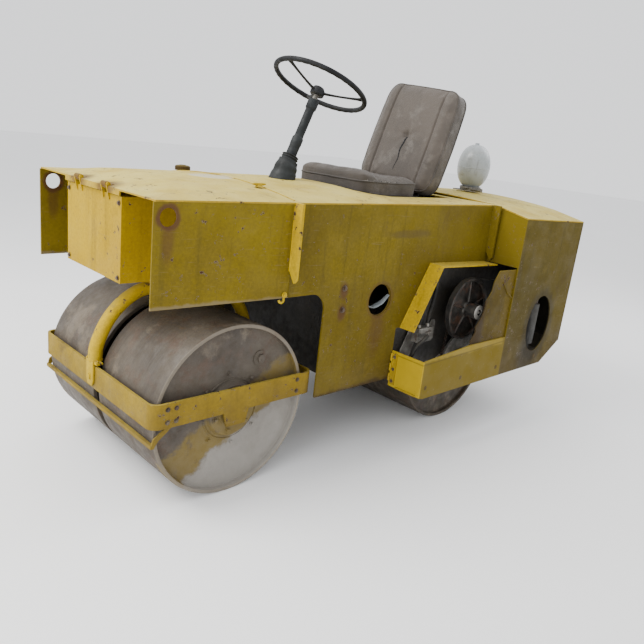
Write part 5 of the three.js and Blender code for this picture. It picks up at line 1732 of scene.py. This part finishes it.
def filler_cap():
    """The tank's filler cap: a dished lid whose edge is knurled by a cosine round its rim."""
    z = float(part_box("filler_cap")[0].z)
    rows = [
        (0.0250, z + 0.0005), (0.0345, z + 0.0010), (0.0352, z + 0.0035), (0.0352, z + 0.0180),
        (0.0330, z + 0.0215), (0.0260, z + 0.0240), (0.0180, z + 0.0235), (0.0150, z + 0.0262),
        (0.0030, z + 0.0270),
    ]
    angle = np.linspace(0, FULL_TURN, 144, endpoint=False)
    points = []
    for k, (r, h) in enumerate(rows):
        ripple = 0.0006 * np.cos(24 * angle) if k in (2, 3) else 0 * angle
        r = np.full(144, r) + ripple
        place = CAP[0] + r * np.cos(angle), CAP[1] + r * np.sin(angle), np.full(144, h)
        points.append(np.stack(place, -1))
    piece("cap_lid", [skin(np.stack(points))], cover_paint, "cap", ["filler_cap"], 30)


filler_cap()


def travel_lever():
    """The travel lever: a waisted rod, a pivot boss and a ball knob."""
    up = (0, 0, 1)
    rod = [
        (0.002, 1.098), (0.0088, 1.098), (0.0088, 1.150), (0.0072, 1.170), (0.0068, 1.400),
        (0.0085, 1.424), (0.0088, 1.432), (0.002, 1.434),
    ]
    angle = np.linspace(-1.15, np.pi / 2 - 0.06, 24)
    ball = np.stack([0.0222 * np.cos(angle), 1.4510 + 0.0212 * np.sin(angle)], -1)
    boss = [
        (0.004, -0.3175), (0.0185, -0.3175), (0.0195, -0.3160), (0.0195, -0.2840),
        (0.0185, -0.2825), (0.004, -0.2825),
    ]
    parts = [
        turned(rod, (*LEVER, 0), up, 28),
        turned(boss, (LEVER[0], 0, 1.100), LEFT, 32),
    ]
    piece("lever_rod", parts, frame_iron, "lever", ["travel_lever"], 35)
    knob = turned(ball, (*LEVER, 0), up, 40)
    piece("lever_knob", [knob], rim_rubber, "lever", smooth=50)


travel_lever()


def seat_fittings():
    """Bolts through the back of the seat pan."""
    heads = bolts([(-0.372, y, 1.1470) for y in (-0.070, 0.070)], UP, 0.009, 0.006)
    piece("seat_bolts", [heads], bolt_steel, "seat", smooth=30)


seat_fittings()


def body_welds():
    """Weld runs on the body, down the step behind the seat and at the foot of the nose plates, and
    the tank's drain plug."""
    lines = [(-0.6535, 0.4955, 0.900, 1.140, 0.0032)]
    lines += [(x, 0.4948, 0.925, 1.150, 0.0028) for x in (-0.6425, -0.6275)]
    lines.append((0.7125, 0.4937, 0.803, 0.858, 0.0026))
    runs = [
        weld([(x, side * y, low), (x, side * y, high)], radius, hint=AHEAD)
        for side in (1.0, -1.0)
        for x, y, low, high, radius in lines
    ]
    piece("body_welds", runs, middle_paint, "chassis", smooth=60)
    plug = [
        (0.004, 0.8320), (0.0150, 0.8318), (0.0150, 0.8240), (0.0105, 0.8225), (0.0105, 0.8150),
        (0.004, 0.8148),
    ]
    drain = turned(plug, (1.140, 0.120, 0), UP, 6)
    piece("tank_drain", [drain], bolt_steel, "chassis", smooth=30)


body_welds()
